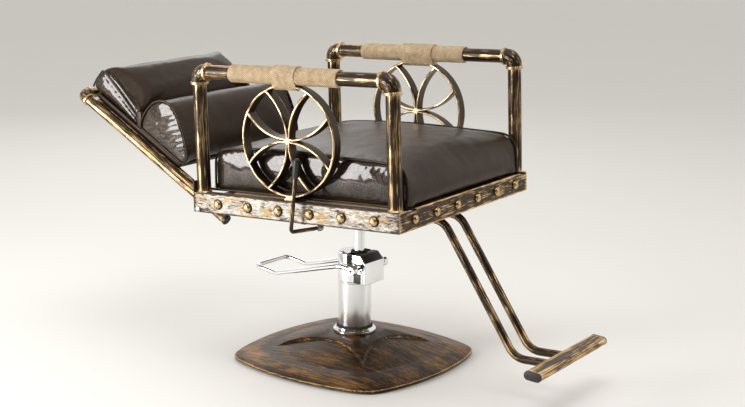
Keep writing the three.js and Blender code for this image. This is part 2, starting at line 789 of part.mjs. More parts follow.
function pivotBolt({ label, sign }) {
  const inner = backTubeX - backTubeRadius + 1;
  const spacer = [backTubeX + backTubeRadius + gap, frameHalfWidth - memberWidth - gap];
  const profile = [
    [0, inner], [4, inner], [4, spacer[0]], [9, spacer[0]], [9, spacer[1]], [4, spacer[1]],
    [4, frameHalfWidth + gap], [7.5, frameHalfWidth + gap], [6.5, frameHalfWidth + 3.5], [0, frameHalfWidth + 5],
  ];
  const bolt = turned(profile, 12);
  bolt.rotateY(sign * Math.PI / 2).translate(0, pivotY, pivotZ);
  return mesh(`pivot_bolt_${label}`, bolt, steel);
}

// ---------- gas spring ----------
const lugY = pivotY + lugRadius * Math.cos(lugAngle);
const lugZ = pivotZ + lugRadius * Math.sin(lugAngle);
const barrelLength = 175;

function gasSpring() {
  const run = new THREE.Vector3(0, lugY - strutPinY, lugZ - strutZ);
  const length = run.length();
  const eye = alongX(ring(4.6, 9, -6, 6, 20));
  const barrel = alongY(rod(11, 14, barrelLength));
  const neck = box([-4, 4], [6, 16], [-6, 6]);
  const bore = alongY(rod(5.3, 40, barrelLength + 5, 16));
  const pinBore = alongX(rod(4.6, -10, 10, 16));
  const cylinder = mesh('gas_spring_cylinder', combine([eye, neck, barrel], [bore, pinBore]), steel);
  const stem = alongY(rod(5, barrelLength - 70, length - 10, 16));
  const fork = alongX(rod(12.5, -5, 5, 20)).translate(0, length, 0);
  const forkBore = alongX(rod(9, -10, 10, 20)).translate(0, length, 0);
  const stemMesh = mesh('gas_spring_rod', combine([stem, fork], [forkBore]), chrome);
  const spring = group(cylinder, stemMesh);
  spring.position.set(strutX, strutPinY, strutZ);
  spring.rotation.x = Math.atan2(run.z, run.y);
  return spring;
}

// ---------- assembly ----------
const lower = group(base(), pump(), pumpPedal());
lower.rotation.z = pumpYaw;

const ramHolder = group(ram());
ramHolder.rotation.z = pumpYaw;

const back = group(backFrame(), innerFrame(), backPads());
back.position.set(0, pivotY, pivotZ);
back.rotation.x = reclineAngle;

const seat = group(
  ...sides.map(sideMember),
  frontMember(),
  crossTube('frame_rear', rearMemberY, [0, frameHeight]),
  frontBeam(),
  crossTube('seat_beam_rear', rearBeamY, [beamBottom, beamTop]),
  seatMount(),
  ...sides.map(arm),
  seatPad(),
  footrest(),
  leverParts(),
  releaseCable(),
  ...sides.map(pivotBolt),
  back,
  gasSpring(),
);
const ramCentre = new THREE.Vector3(0, ramOffset, 0).applyAxisAngle(new THREE.Vector3(0, 0, 1), pumpYaw);
seat.position.set(ramCentre.x, ramCentre.y, seatUnderside);
seat.rotation.x = -seatRake;

export default group(lower, ramHolder, seat);
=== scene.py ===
import math

import bmesh
import bpy
import numpy as np
from mathutils import Matrix, Vector, noise


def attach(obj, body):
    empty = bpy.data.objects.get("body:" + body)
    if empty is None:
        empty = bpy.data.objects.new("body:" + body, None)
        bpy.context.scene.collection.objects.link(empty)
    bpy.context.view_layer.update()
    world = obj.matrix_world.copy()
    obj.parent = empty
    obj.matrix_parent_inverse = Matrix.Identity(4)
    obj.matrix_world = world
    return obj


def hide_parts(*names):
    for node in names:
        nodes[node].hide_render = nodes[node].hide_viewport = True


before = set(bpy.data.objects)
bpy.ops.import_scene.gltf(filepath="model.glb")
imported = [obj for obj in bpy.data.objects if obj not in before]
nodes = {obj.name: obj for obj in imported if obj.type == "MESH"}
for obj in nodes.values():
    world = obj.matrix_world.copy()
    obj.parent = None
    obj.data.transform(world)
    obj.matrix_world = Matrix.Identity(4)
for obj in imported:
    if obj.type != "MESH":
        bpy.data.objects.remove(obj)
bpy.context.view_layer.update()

scene = bpy.context.scene
scene.view_settings.view_transform = "Standard"
print("frame loaded:", len(nodes), "nodes")

# all sizes below are millimetres in one of these three frames
mm = 0.001
pivot = (0, 271, 7.5)
lean = 32.2
pumpFrame = Matrix.Rotation(math.radians(-4), 4, "Z")
seatFrame = Matrix.Translation((-0.837, -11.971, 407)) @ Matrix.Rotation(math.radians(-2.6), 4, "X")
backFrame = seatFrame @ Matrix.Translation(pivot) @ Matrix.Rotation(math.radians(lean), 4, "X")
bothSides = {"left": 1, "right": -1}


def at(place, angle=0.0, axis="Z"):  # turned about an axis by an angle in degrees, then moved
    return Matrix.Translation(place) @ Matrix.Rotation(math.radians(angle), 4, axis)


def show(name, data):
    shown = bpy.data.objects.new(name, data)
    scene.collection.objects.link(shown)
    return shown


def applied(holder):  # a new mesh: the object's own with its modifiers applied
    graph = bpy.context.evaluated_depsgraph_get()
    return bpy.data.meshes.new_from_object(holder.evaluated_get(graph))


def settled(holder, name):  # the same, named and smooth, in place of the object
    made = applied(holder)
    bpy.data.objects.remove(holder)
    made.name = name
    made.shade_smooth()
    return made


def faceOutwards(mesh, merge=False):
    bm = bmesh.new()
    bm.from_mesh(mesh)
    if merge:
        bmesh.ops.remove_doubles(bm, verts=bm.verts, dist=1e-6)
    bmesh.ops.recalc_face_normals(bm, faces=bm.faces)
    bm.to_mesh(mesh)
    bm.free()


# camera, floor and light
studio = {
    "cameraPlace": (-3.145, -2.1195, 1.238),
    "cameraTurn": (77.50302534, -0.71156883, -56.49418069),
    "lens": 75.07,
    "floorColor": (0.84, 0.82, 0.785),
    "skyColor": (0.90, 0.885, 0.855),
    "skyDark": (0.045, 0.043, 0.042),
    "skyStrength": 0.95,
}


def makeCamera():
    data = bpy.data.cameras.new("camera")
    data.lens = studio["lens"]
    data.sensor_width = 36
    data.clip_end = 60
    camera = show("camera", data)
    camera.location = studio["cameraPlace"]
    camera.rotation_euler = [math.radians(a) for a in studio["cameraTurn"]]
    scene.camera = camera


def softBox(name, place, aim, size, power, color=(1, 1, 1)):
    data = bpy.data.lights.new(name, "AREA")
    data.shape = "RECTANGLE"
    data.size, data.size_y = size
    data.energy = power
    data.color = color
    light = show(name, data)
    light.location = place
    light.rotation_euler = (Vector(aim) - Vector(place)).to_track_quat("-Z", "Y").to_euler()
    light.visible_camera = False


class Wire:  # one output of a shader or geometry node, usable in sums
    def __init__(self, tree, socket=None):
        self.tree = tree
        self.socket = socket

    def add(self, kind, settings=None, sockets=None, out=0):  # any node: settings first, then sockets
        node = self.tree.nodes.new(kind)
        for name, value in (settings or {}).items():
            setattr(node, name, value)
        for name, value in (sockets or {}).items():
            if isinstance(value, Wire):
                self.tree.links.new(value.socket, node.inputs[name])
            else:
                node.inputs[name].default_value = value
        return Wire(self.tree, node.outputs[out])

    def sum(self, operation, first, second):
        return self.add("ShaderNodeMath", {"operation": operation}, {0: first, 1: second})

    def __add__(self, other):
        return self.sum("ADD", self, other)

    def __radd__(self, other):
        return self.sum("ADD", other, self)

    def __sub__(self, other):
        return self.sum("SUBTRACT", self, other)

    def __rsub__(self, other):
        return self.sum("SUBTRACT", other, self)

    def __mul__(self, other):
        return self.sum("MULTIPLY", self, other)

    def __rmul__(self, other):
        return self.sum("MULTIPLY", other, self)

    def rise(self, low, high):  # 0 below low, 1 above high, smooth between
        sockets = {"Value": self, "From Min": low, "From Max": high}
        return self.add("ShaderNodeMapRange", {"interpolation_type": "SMOOTHSTEP"}, sockets)

    def stretch(self, *factors):
        return self.add("ShaderNodeVectorMath", {"operation": "MULTIPLY"}, {0: self, 1: factors})

    def noise(self, scale, detail=3.0, roughness=0.55, distortion=0.0):
        sockets = {
            "Vector": self, "Scale": scale, "Detail": detail,
            "Roughness": roughness, "Distortion": distortion,
        }
        return self.add("ShaderNodeTexNoise", None, sockets)


class Finish:  # one material: its shader, and the wires that feed it
    def __init__(self, name, **fixed):
        self.material = bpy.data.materials.new(name)
        self.material.use_nodes = True
        self.tree = self.material.node_tree
        self.shader = self.tree.nodes["Principled BSDF"]
        self.wire = Wire(self.tree)
        for socket, value in fixed.items():
            self.shader.inputs[socket.replace("_", " ")].default_value = value

    def objectPlace(self):
        return self.wire.add("ShaderNodeTexCoord", out="Object")

    def stored(self, name, out="Fac"):
        return self.wire.add("ShaderNodeAttribute", {"attribute_name": name}, out=out)

    def mix(self, factor, first, second):
        sockets = {
            0: factor,
            6: first if isinstance(first, Wire) else (*first, 1),
            7: second if isinstance(second, Wire) else (*second, 1),
        }
        return self.wire.add("ShaderNodeMix", {"data_type": "RGBA"}, sockets, out=2)

    def feed(self, socket, wire):
        self.tree.links.new(wire.socket, self.shader.inputs[socket])

    def bump(self, height, distance, strength=1.0):
        sockets = {"Height": height, "Distance": distance, "Strength": strength}
        self.feed("Normal", self.wire.add("ShaderNodeBump", None, sockets))


bronzeLook = {
    "dark": (0.022, 0.0125, 0.0065),
    "gold": (0.36, 0.205, 0.078),
    "pale": (0.84, 0.63, 0.37),
    "coarse": 150,
    "fine": 520,
}


def agedBronze(name, amount=0.0, along=0.06, fromObject=False):
    look = bronzeLook
    finish = Finish(name, Specular_Tint=(1.0, 0.84, 0.70, 1.0))
    flow = finish.objectPlace() if fromObject else finish.stored("flow", "Vector")
    wear = finish.stored("wear")
    coarse = flow.stretch(1, 1, along).noise(look["coarse"], 4)
    fine = flow.stretch(1, 1, along * 0.5).noise(look["fine"], 3)
    patch = flow.noise(18, 2)
    raw = coarse * 0.5 + fine * 0.55 + patch * 0.32 + wear * 0.24 + amount
    gold = raw.rise(0.66, 0.78)
    bright = (fine * 0.8 + patch * 0.25 + wear * 0.10).rise(0.53, 0.70)
    metal = finish.mix(bright, look["gold"], look["pale"])
    finish.feed("Base Color", finish.mix(gold, look["dark"], metal))
    finish.feed("Metallic", gold * 0.6 + 0.3)
    finish.feed("Roughness", 0.36 - gold * 0.06 + (fine - 0.5) * 0.25)
    finish.bump(fine * 0.5 + gold * 0.5, 0.0004, 0.55)
    return finish.material


champagneReflectionLook = {
    # pale: the silver of the flats, partly the metal's own colour and partly a painted reflection
    "pale": (0.47, 0.43, 0.375),
    "grey": (0.18, 0.160, 0.135),
    "gold": (0.27, 0.180, 0.083),
    "dark": (0.045, 0.033, 0.024),
}


def champagneAndReflection(name):  # silvery gold flats, partly a painted reflection, with gold blotches, dark rubbed spots and painted shade on the worn edges
    look = champagneReflectionLook
    finish = Finish(name)
    flow = finish.stored("flow", "Vector")
    wear = finish.stored("wear")
    strokes = flow.stretch(1, 1, 0.16).noise(95, 4, 0.6)
    blotch = flow.stretch(1, 1, 0.45).noise(34, 3, 0.6, 0.6)
    grit = flow.stretch(1, 1, 0.3).noise(260, 3, 0.6)
    spots = flow.stretch(1, 1, 0.35).noise(58, 4, 0.65, 0.8)
    gold = (strokes * 0.55 + blotch * 0.5 + wear * 0.10).rise(0.525, 0.60)
    # painted shade: the wear term also darkens the rounded edges and mitred ends, besides turning them gold
    dark = (spots * 0.55 + grit * 0.55 + wear * 0.16).rise(0.55, 0.65)
    silver = finish.mix(grit.rise(0.38, 0.62), look["grey"], look["pale"])
    color = finish.mix(gold, silver, look["gold"])
    finish.feed("Base Color", finish.mix(dark, color, look["dark"]))
    finish.feed("Metallic", 0.85 - dark * 0.5)
    finish.feed("Roughness", 0.30 + grit * 0.22 + dark * 0.1)
    finish.bump(grit * 0.6 - dark * 0.5, 0.0005, 0.5)
    return finish.material


leatherLook = {
    "deep": (0.015, 0.0082, 0.0052),
    "worn": (0.046, 0.0275, 0.0185),
}


def leather(name, roughness=0.36):
    look = leatherLook
    finish = Finish(name, Coat_Roughness=0.06, Specular_IOR_Level=0.24, Specular_Tint=(1.0, 0.78, 0.62, 1.0))
    place = finish.objectPlace()
    craze = finish.stored("craze")
    cloud = place.noise(9, 4, 0.6)
    bend = place.noise(22, 3)
    warped = finish.wire.add(
        "ShaderNodeVectorMath", {"operation": "MULTIPLY_ADD"}, {0: bend, 1: (0.10, 0.10, 0.10), 2: place})
    pebble = place.noise(900, 2, 0.6)
    cell = finish.wire.add(
        "ShaderNodeTexVoronoi", {"feature": "DISTANCE_TO_EDGE"}, {"Vector": warped, "Scale": 44})
    crease = 1 - cell.rise(0.0, 0.10)
    finer = finish.wire.add(
        "ShaderNodeTexVoronoi", {"feature": "DISTANCE_TO_EDGE"}, {"Vector": warped, "Scale": 95})
    fold = 1 - finer.rise(0.0, 0.12)
    where = (place.noise(14, 3, 0.6) + craze * 0.18).rise(0.50, 0.72)
    sharp = craze * 0.9 + 0.45
    relief = pebble * 0.05 + bend * (craze * 0.8 + 1.2) - crease * where * sharp - fold * where * 0.25
    # painted shade: the pad ends are given a deeper leather colour as well as their crazing
    tone = cloud - craze * 0.8
    finish.feed("Base Color", finish.mix(tone, look["deep"], look["worn"]))
    finish.feed("Roughness", cloud * 0.16 + roughness - 0.07 + pebble * 0.04)
    finish.feed("Coat Weight", 0.03 + craze * 0.72)
    finish.bump(relief, 0.0011, 0.75)
    return finish.material


def chrome(name, roughness=0.05, brushed=0.0):
    finish = Finish(name, Metallic=1.0)
    place = finish.objectPlace()
    lines = place.stretch(1, 1, 0.02).noise(900, 2)
    haze = place.noise(30, 3)
    finish.feed("Base Color", finish.mix(haze, (0.80, 0.80, 0.81), (0.92, 0.92, 0.925)))
    finish.feed("Roughness", haze * 0.05 + lines * brushed + roughness)
    finish.bump(lines, 0.000004 + brushed * 0.0004, 0.4)
    return finish.material


def jute(name):
    finish = Finish(name, Roughness=0.92, Specular_IOR_Level=0.25)
    around = finish.stored("around", "Vector")
    along = finish.stored("along")
    split = finish.wire.add("ShaderNodeSeparateXYZ", None, {0: around})
    second = finish.wire.add("ShaderNodeSeparateXYZ", None, {0: around}, out=1)
    angle = finish.wire.sum("ARCTAN2", split, second)
    twist = finish.wire.sum("SINE", angle * 2 + along * 1500, 0) * 0.5 + 0.5
    place = finish.objectPlace()
    fibre = place.noise(700, 4, 0.7)
    tone = place.noise(60, 4, 0.6)
    tan = finish.mix(tone.rise(0.3, 0.7), (0.60, 0.44, 0.27), (0.84, 0.69, 0.48))
    lit = (fibre * 0.7 + twist * 0.4).rise(0.3, 0.62)
    finish.feed("Base Color", finish.mix(lit, (0.34, 0.23, 0.13), tan))
    finish.bump(twist * 0.6 + fibre * 0.6, 0.0008, 0.8)
    return finish.material


def plain(name, first, second, roughness, metallic=0.0, scale=300, height=0.0003):
    finish = Finish(name, Metallic=metallic)
    place = finish.objectPlace()
    grain = place.noise(scale, 4, 0.6)
    cloud = place.noise(scale / 12, 3)
    finish.feed("Base Color", finish.mix((grain + cloud) * 0.5, first, second))
    finish.feed("Roughness", (grain - 0.5) * 0.25 + roughness)
    finish.bump(grain, height, 0.5)
    return finish.material


def plywood(name):
    finish = Finish(name)
    place = finish.objectPlace()
    grain = place.stretch(1, 0.06, 1).noise(120, 5, 0.6, 0.4)
    finish.feed("Base Color", finish.mix(grain, (0.30, 0.19, 0.10), (0.52, 0.37, 0.22)))
    finish.feed("Roughness", grain * 0.2 + 0.6)
    finish.bump(grain, 0.0002)
    return finish.material


baseLook = {
    "dark": (0.016, 0.0085, 0.004),
    "brown": (0.082, 0.036, 0.0115),
    "orange": (0.33, 0.165, 0.046),
    "gold": (0.62, 0.40, 0.17),
}


def baseFinish(name):
    look = baseLook
    finish = Finish(name, Coat_Roughness=0.2, Specular_IOR_Level=0.16, Specular_Tint=(1.0, 0.80, 0.60, 1.0))
    place = finish.objectPlace()
    rim = finish.stored("wear")
    border = finish.stored("border")
    strokes = place.stretch(1, 0.07, 0.5).noise(150, 5, 0.65, 0.3)
    fine = place.stretch(1, 0.05, 0.4).noise(620, 3, 0.6)
    patch = place.stretch(1, 0.5, 1).noise(16, 4, 0.6)
    brown = (strokes * 0.6 + patch * 0.5).rise(0.46, 0.68)
    orange = (fine * 0.5 + strokes * 0.35 + patch * 0.35 + border * 0.055).rise(0.61, 0.78)
    gold = (fine * 0.6 + patch * 0.3 + rim * 0.30 + border * 0.075).rise(0.63, 0.80)
    color = finish.mix(brown, look["dark"], look["brown"])
    color = finish.mix(orange, color, look["orange"])
    finish.feed("Base Color", finish.mix(gold, color, look["gold"]))
    finish.feed("Metallic", orange * 0.35 + gold * 0.4)
    finish.feed("Roughness", 0.40 - orange * 0.06 + (fine - 0.5) * 0.2)
    finish.feed("Coat Weight", 0.05 - gold * 0.04)
    finish.bump(fine * 0.6 + strokes * 0.4, 0.0005, 0.5)
    return finish.material


def floorFinish(name):
    finish = Finish(name)
    place = finish.objectPlace()
    cloud = place.noise(1.5, 3)
    color = studio["floorColor"]
    finish.feed("Base Color", finish.mix(cloud, color, [c * 1.04 for c in color]))
    finish.feed("Roughness", cloud * 0.1 + 0.5)
    return finish.material


def makeStudio():
    points = [(-14, -14, 0), (14, -14, 0), (14, 14, 0), (-14, 14, 0)]
    data = bpy.data.meshes.new("floor")
    data.from_pydata(points, [], [(0, 1, 2, 3)])
    floor = show("floor", data)
    data.materials.append(floorFinish("floor"))
    softBox("topSoftBox", (-0.8, -0.6, 3.4), (0, 0, 0.4), (2.2, 2.2), 34)
    softBox("sideSoftBox", (-2.7, 1.9, 0.9), (0, 0, 0.5), (1.1, 1.5), 100)
    softBox("frontSoftBox", (1.5, -3.0, 1.7), (0, 0, 0.5), (0.8, 1.6), 18)
    softBox("backSoftBox", (2.2, 2.4, 2.0), (0, 0, 0.6), (1.4, 1.4), 14)
    world = bpy.data.worlds.new("studio")
    world.use_nodes = True
    scene.world = world
    tree = world.node_tree
    wire = Wire(tree)
    direction = wire.add("ShaderNodeTexCoord", out="Generated")
    ahead = (0.78, 0.62, 0.25)
    toward = wire.add("ShaderNodeVectorMath", {"operation": "DOT_PRODUCT"}, {0: direction, 1: ahead}, out=1)
    sockets = {0: toward.rise(-0.5, 0.2), 6: (*studio["skyDark"], 1), 7: (*studio["skyColor"], 1)}
    color = wire.add("ShaderNodeMix", {"data_type": "RGBA"}, sockets, out=2)
    background = tree.nodes["Background"]
    tree.links.new(color.socket, background.inputs["Color"])
    background.inputs["Strength"].default_value = studio["skyStrength"]


makeCamera()
makeStudio()
print("camera, floor and light ready")

bronzePipe = agedBronze("bronzePipe", -0.03)
bronzeRail = agedBronze("bronzeRail", -0.06)
bronzeCast = agedBronze("bronzeCast", -0.07, 0.5)
bronzeBar = agedBronze("bronzeBar", -0.055)
bronzeWheel = agedBronze("bronzeWheel", -0.15, 0.09)
bronzeBack = agedBronze("bronzeBack", 0.02)
bronzeFront = agedBronze("bronzeFront", -0.02, 0.12)
bronzeStud = agedBronze("bronzeStud", 0.16, 0.8)
bronzeSolid = agedBronze("bronzeSolid", 0.0, 0.4, True)
# the side members' finish: champagne metal with a painted reflection in its pale silver
champagneSide = champagneAndReflection("champagneSide")
glossLeather = leather("glossLeather")
polished = chrome("polishedChrome")
satin = chrome("satinChrome", 0.13, 0.09)
steel = plain("zincSteel", (0.34, 0.34, 0.35), (0.52, 0.52, 0.53), 0.36, 0.9, 500, 0.0001)
castIron = plain("castIron", (0.03, 0.03, 0.03), (0.06, 0.058, 0.055), 0.75, 0.4, 260, 0.0006)
blackPlastic = plain("blackPlastic", (0.012, 0.012, 0.012), (0.024, 0.023, 0.022), 0.42, 0, 700, 0.0001)
rubber = plain("blackRubber", (0.014, 0.014, 0.014), (0.03, 0.03, 0.03), 0.8, 0, 500, 0.0002)
juteCord = jute("juteCord")
board = plywood("plainBoard")
baseBronze = baseFinish("baseBronze")
# the slot that goes with each finish; the rest are aged bronze
slotOf = {
    "baseBronze": "base_bronze", "glossLeather": "leather", "polishedChrome": "chrome",
    "satinChrome": "satin_chrome", "zincSteel": "steel", "blackPlastic": "black_plastic",
    "blackRubber": "rubber", "juteCord": "jute",
}
print("finishes ready")


class Form:  # points in millimetres with how they flow along the piece and how worn they are
    def __init__(self):
        self.points, self.flow, self.wear, self.faces = [], [], [], []

    def grid(self, rows, flows, wears, closeAcross=True, closeAlong=False, caps=True):
        start = len(self.points)
        count, across = len(rows), len(rows[0])
        for row, flow, wear in zip(rows, flows, wears):
            self.points.extend(map(tuple, row))
            self.flow.extend(map(tuple, flow))
            self.wear.extend(wear)
        for i in range(count if closeAlong else count - 1):
            for j in range(across if closeAcross else across - 1):
                a, b = start + i * across, start + ((i + 1) % count) * across
                k = (j + 1) % across
                self.faces.append((a + j, a + k, b + k, b + j))
        if caps and not closeAlong:
            self.faces.append(tuple(start + j for j in reversed(range(across))))
            self.faces.append(tuple(start + (count - 1) * across + j for j in range(across)))
        return self

    def join(self, other, place=None):
        start = len(self.points)
        points = other.points if place is None else [tuple(place @ Vector(p)) for p in other.points]
        self.points.extend(points)
        self.flow.extend(other.flow)
        self.wear.extend(other.wear)
        self.faces.extend(tuple(start + i for i in face) for face in other.faces)
        return self


def sweep(path, section, wear=None, ends=None, up=(1, 0, 0), closed=False):
    # section: points (a, b) across the path; ends: (wear, scale) for each station
    path = [Vector(p) for p in path]
    count = len(path)
    normal = Vector(up).normalized()
    rows, flows, wears = [], [], []
    wear = wear or [0.0] * len(section)
    length = 0.0
    for i, point in enumerate(path):
        before = path[i - 1] if i or closed else point
        after = path[(i + 1) % count] if i < count - 1 or closed else point
        tangent = (after - before).normalized()
        normal = (normal - tangent * normal.dot(tangent)).normalized()
        side = tangent.cross(normal)
        if i:
            length += (point - path[i - 1]).length
        extra, scale = ends[i] if ends else (0.0, 1.0)
        rows.append([point + (normal * a + side * b) * scale for a, b in section])
        flows.append([(a * mm, b * mm, length * mm) for a, b in section])
        wears.append([min(1.0, w + extra) for w in wear])
    return Form().grid(rows, flows, wears, closeAlong=closed)


def circle(radius, sides):
    turn = [2 * math.pi * i / sides for i in range(sides)]
    return [(radius * math.cos(a), radius * math.sin(a)) for a in turn]


def lathe(profile, sides=48, wear=None):
    wear = wear or [0.0] * len(profile)
    ringed = profile[0] == profile[-1]  # a ring with a hole through it
    if ringed:
        profile, wear = profile[:-1], wear[:-1]
    rows = [[(max(r, 0.01) * c, max(r, 0.01) * s, z) for c, s in circle(1, sides)] for r, z in profile]
    flows = [[(x * mm, y * mm, z * mm) for x, y, z in row] for row in rows]
    return Form().grid(rows, flows, [[w] * sides for w in wear], closeAlong=ringed)


def pipe(start, end, radius, sides=36, wornEnds=6.0):
    start, end = Vector(start), Vector(end)
    run = end - start
    length = run.length
    marks = [0, 0.8, wornEnds, wornEnds * 2.5]
    stations = marks + [length / 2] + [length - m for m in reversed(marks)]
    shade = [0.9, 0.8, 0.3, 0.0, 0.0, 0.0, 0.3, 0.8, 0.9]
    scale = [0.95, 1, 1, 1, 1, 1, 1, 1, 0.95]
    across = (1, 0, 0) if abs(run.x) < 0.5 * length else (0, 1, 0)
    path = [start + run * (s / length) for s in stations]
    return sweep(path, circle(radius, sides), None, list(zip(shade, scale)), across)


def washer(inner, outer, half, sides):
    return lathe([(inner, -half), (outer, -half), (outer, half), (inner, half), (inner, -half)], sides)


def roundedRectangle(width, height, radius, support, steps=3):
    section, wear = [], []
    corners = [(1, 1, 0), (-1, 1, 90), (-1, -1, 180), (1, -1, 270)]
    for sx, sy, begin in corners:
        cx, cy = sx * (width / 2 - radius), sy * (height / 2 - radius)
        arc = [math.radians(begin + 90 * i / steps) for i in range(steps + 1)]
        points = [(cx + radius * math.cos(a), cy + radius * math.sin(a)) for a in arc]
        first, last = points[0], points[-1]
        inX = min(support, width / 2 - radius - 0.1)
        inY = min(support, height / 2 - radius - 0.1)
        if begin in (0, 180):
            before, after = (first[0], first[1] - sy * inY), (last[0] - sx * inX, last[1])
        else:
            before, after = (first[0] - sx * inX, first[1]), (last[0], last[1] - sy * inY)
        section += [before, *points, after]
        wear += [0.0, *[1.0] * len(points), 0.0]
    return section, wear


def between(p, t):  # a point from p[1] to p[2] on a smooth curve through four points
    return 0.5 * (
        2 * p[1] + (p[2] - p[0]) * t + (2 * p[0] - 5 * p[1] + 4 * p[2] - p[3]) * t ** 2
        + (3 * p[1] - p[0] - 3 * p[2] + p[3]) * t ** 3)


def roundPath(corners, setback, steps=8):
    corners = [Vector(c) for c in corners]
    path = [corners[0]]
    for i in range(1, len(corners) - 1):
        back = (corners[i - 1] - corners[i]).normalized()
        ahead = (corners[i + 1] - corners[i]).normalized()
        entry, leave = corners[i] + back * setback, corners[i] + ahead * setback
        for k in range(steps + 1):
            t = k / steps
            path.append(entry * (1 - t) ** 2 + corners[i] * 2 * t * (1 - t) + leave * t ** 2)
    path.append(corners[-1])
    return path


def solidOf(outline, x0, x1, bevel, segments=3):  # side outline (y, z) drawn through from x0 to x1
    mesh = bmesh.new()
    ring = [mesh.verts.new((x0, y, z)) for y, z in outline]
    face = mesh.faces.new(ring)
    moved = bmesh.ops.extrude_face_region(mesh, geom=[face])["geom"]
    farSide = [v for v in moved if isinstance(v, bmesh.types.BMVert)]
    bmesh.ops.translate(mesh, verts=farSide, vec=(x1 - x0, 0, 0))
    bmesh.ops.recalc_face_normals(mesh, faces=mesh.faces)
    made = bmesh.ops.bevel(
        mesh, geom=mesh.edges[:], offset=bevel, segments=segments, profile=0.5, affect="EDGES",
        clamp_overlap=True)
    onEdge = {v for f in made["faces"] for v in f.verts}
    form = Form()
    mesh.verts.index_update()
    for vert in mesh.verts:
        form.points.append(tuple(vert.co))
        form.flow.append(tuple(vert.co * mm))
        form.wear.append(1.0 if vert in onEdge else 0.0)
    form.faces = [tuple(v.index for v in f.verts) for f in mesh.faces]
    mesh.free()
    return form


def storeNumbers(mesh, name, values, kind="FLOAT"):
    attribute = mesh.attributes.get(name) or mesh.attributes.new(name, kind, "POINT")
    key = "vector" if kind == "FLOAT_VECTOR" else "value"
    attribute.data.foreach_set(key, np.asarray(values, np.float32).ravel())


def meshOf(name, form, place, sharp=40):
    mesh = bpy.data.meshes.new(name)
    turn = np.array(place.to_3x3())
    points = (np.array(form.points) @ turn.T + np.array(place.translation)) * mm
    mesh.from_pydata(points.tolist(), [], form.faces)
    storeNumbers(mesh, "flow", form.flow, "FLOAT_VECTOR")
    storeNumbers(mesh, "wear", form.wear)
    faceOutwards(mesh, merge=True)
    mesh.shade_smooth()
    mesh.set_sharp_from_angle(angle=math.radians(sharp))
    return mesh


def finishPiece(name, mesh, material, body, *replaced, slot=None):
    piece = show(name, mesh)
    mesh.materials.clear()
    mesh.materials.append(material)
    slot = slot or slotOf.get(material.name, "aged_bronze")
    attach(piece, body)
    if replaced:
        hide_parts(*replaced)
    return piece


def makePiece(name, form, place, material, body, *replaced, sharp=40, slot=None):
    return finishPiece(name, meshOf(name, form, place, sharp), material, body, *replaced, slot=slot)


def growTree(name, inputs, build):
    tree = bpy.data.node_groups.new(name, "GeometryNodeTree")
    tree.interface.new_socket("Geometry", in_out="INPUT", socket_type="NodeSocketGeometry")
    for title, kind in inputs.items():
        tree.interface.new_socket(title, in_out="INPUT", socket_type="NodeSocket" + kind)
    tree.interface.new_socket("Finish", in_out="INPUT", socket_type="NodeSocketMaterial")
    tree.interface.new_socket("Geometry", in_out="OUTPUT", socket_type="NodeSocketGeometry")
    start = tree.nodes.new("NodeGroupInput")
    wires = {s.name: Wire(tree, s) for s in start.outputs if s.name}
    wire = Wire(tree)
    shape = build(wire, wires)
    whole = wire.add("GeometryNodeRealizeInstances", None, {"Geometry": shape})
    done = wire.add("GeometryNodeSetMaterial", None, {"Geometry": whole, "Material": wires["Finish"]})
    tree.links.new(done.socket, tree.nodes.new("NodeGroupOutput").inputs[0])
    return tree


def buildRow(wire, given):  # copies of a shape in a straight row
    line = wire.add(
        "GeometryNodeMeshLine", {"mode": "OFFSET"},
        {"Count": given["Count"], "Start Location": given["First"], "Offset": given["Step"]})
    sockets = {"Points": line, "Instance": given["Geometry"], "Rotation": given["Turn"]}
    return wire.add("GeometryNodeInstanceOnPoints", None, sockets)


def buildWheel(wire, given):  # copies of a shape turned round the X axis
    sockets = {"Count": given["Count"], "Offset": (0, 0, 0)}
    line = wire.add("GeometryNodeMeshLine", {"mode": "OFFSET"}, sockets)
    index = wire.add("GeometryNodeInputIndex")
    share = wire.sum("DIVIDE", index * (2 * math.pi), given["Count"])
    turn = wire.add("ShaderNodeCombineXYZ", None, {"X": share})
    sockets = {"Points": line, "Instance": given["Geometry"], "Rotation": turn}
    return wire.add("GeometryNodeInstanceOnPoints", None, sockets)


def buildCord(wire, given):  # a round cord laid along a path of edges
    curve = wire.add("GeometryNodeMeshToCurve", None, {"Mesh": given["Geometry"]})
    reach = wire.add("GeometryNodeSplineParameter", out="Length")
    keep = {"data_type": "FLOAT", "domain": "POINT"}
    curve = wire.add(
        "GeometryNodeStoreNamedAttribute", keep, {"Geometry": curve, "Name": "along", "Value": reach})
    ring = wire.add(
        "GeometryNodeCurvePrimitiveCircle", None, {"Resolution": given["Sides"], "Radius": given["Radius"]})
    place = wire.add("GeometryNodeInputPosition")
    keep = {"data_type": "FLOAT_VECTOR", "domain": "POINT"}
    ring = wire.add(
        "GeometryNodeStoreNamedAttribute", keep, {"Geometry": ring, "Name": "around", "Value": place})
    sockets = {"Curve": curve, "Profile Curve": ring, "Fill Caps": True}
    return wire.add("GeometryNodeCurveToMesh", None, sockets)


rowInputs = {"Count": "Int", "First": "Vector", "Step": "Vector", "Turn": "Vector"}
rowTree = growTree("copiesInRow", rowInputs, buildRow)
wheelTree = growTree("copiesRoundAxle", {"Count": "Int"}, buildWheel)
cordTree = growTree("cordAlongPath", {"Radius": "Float", "Sides": "Int"}, buildCord)


def grow(name, mesh, tree, material, **values):
    holder = show(name + "Seed", mesh)
    modifier = holder.modifiers.new(tree.name, "NODES")
    modifier.node_group = tree
    values["Finish"] = material
    for item in tree.interface.items_tree:
        if item.in_out == "INPUT" and item.name in values:
            modifier[item.identifier] = values[item.name]
    bpy.context.view_layer.update()
    return settled(holder, name)


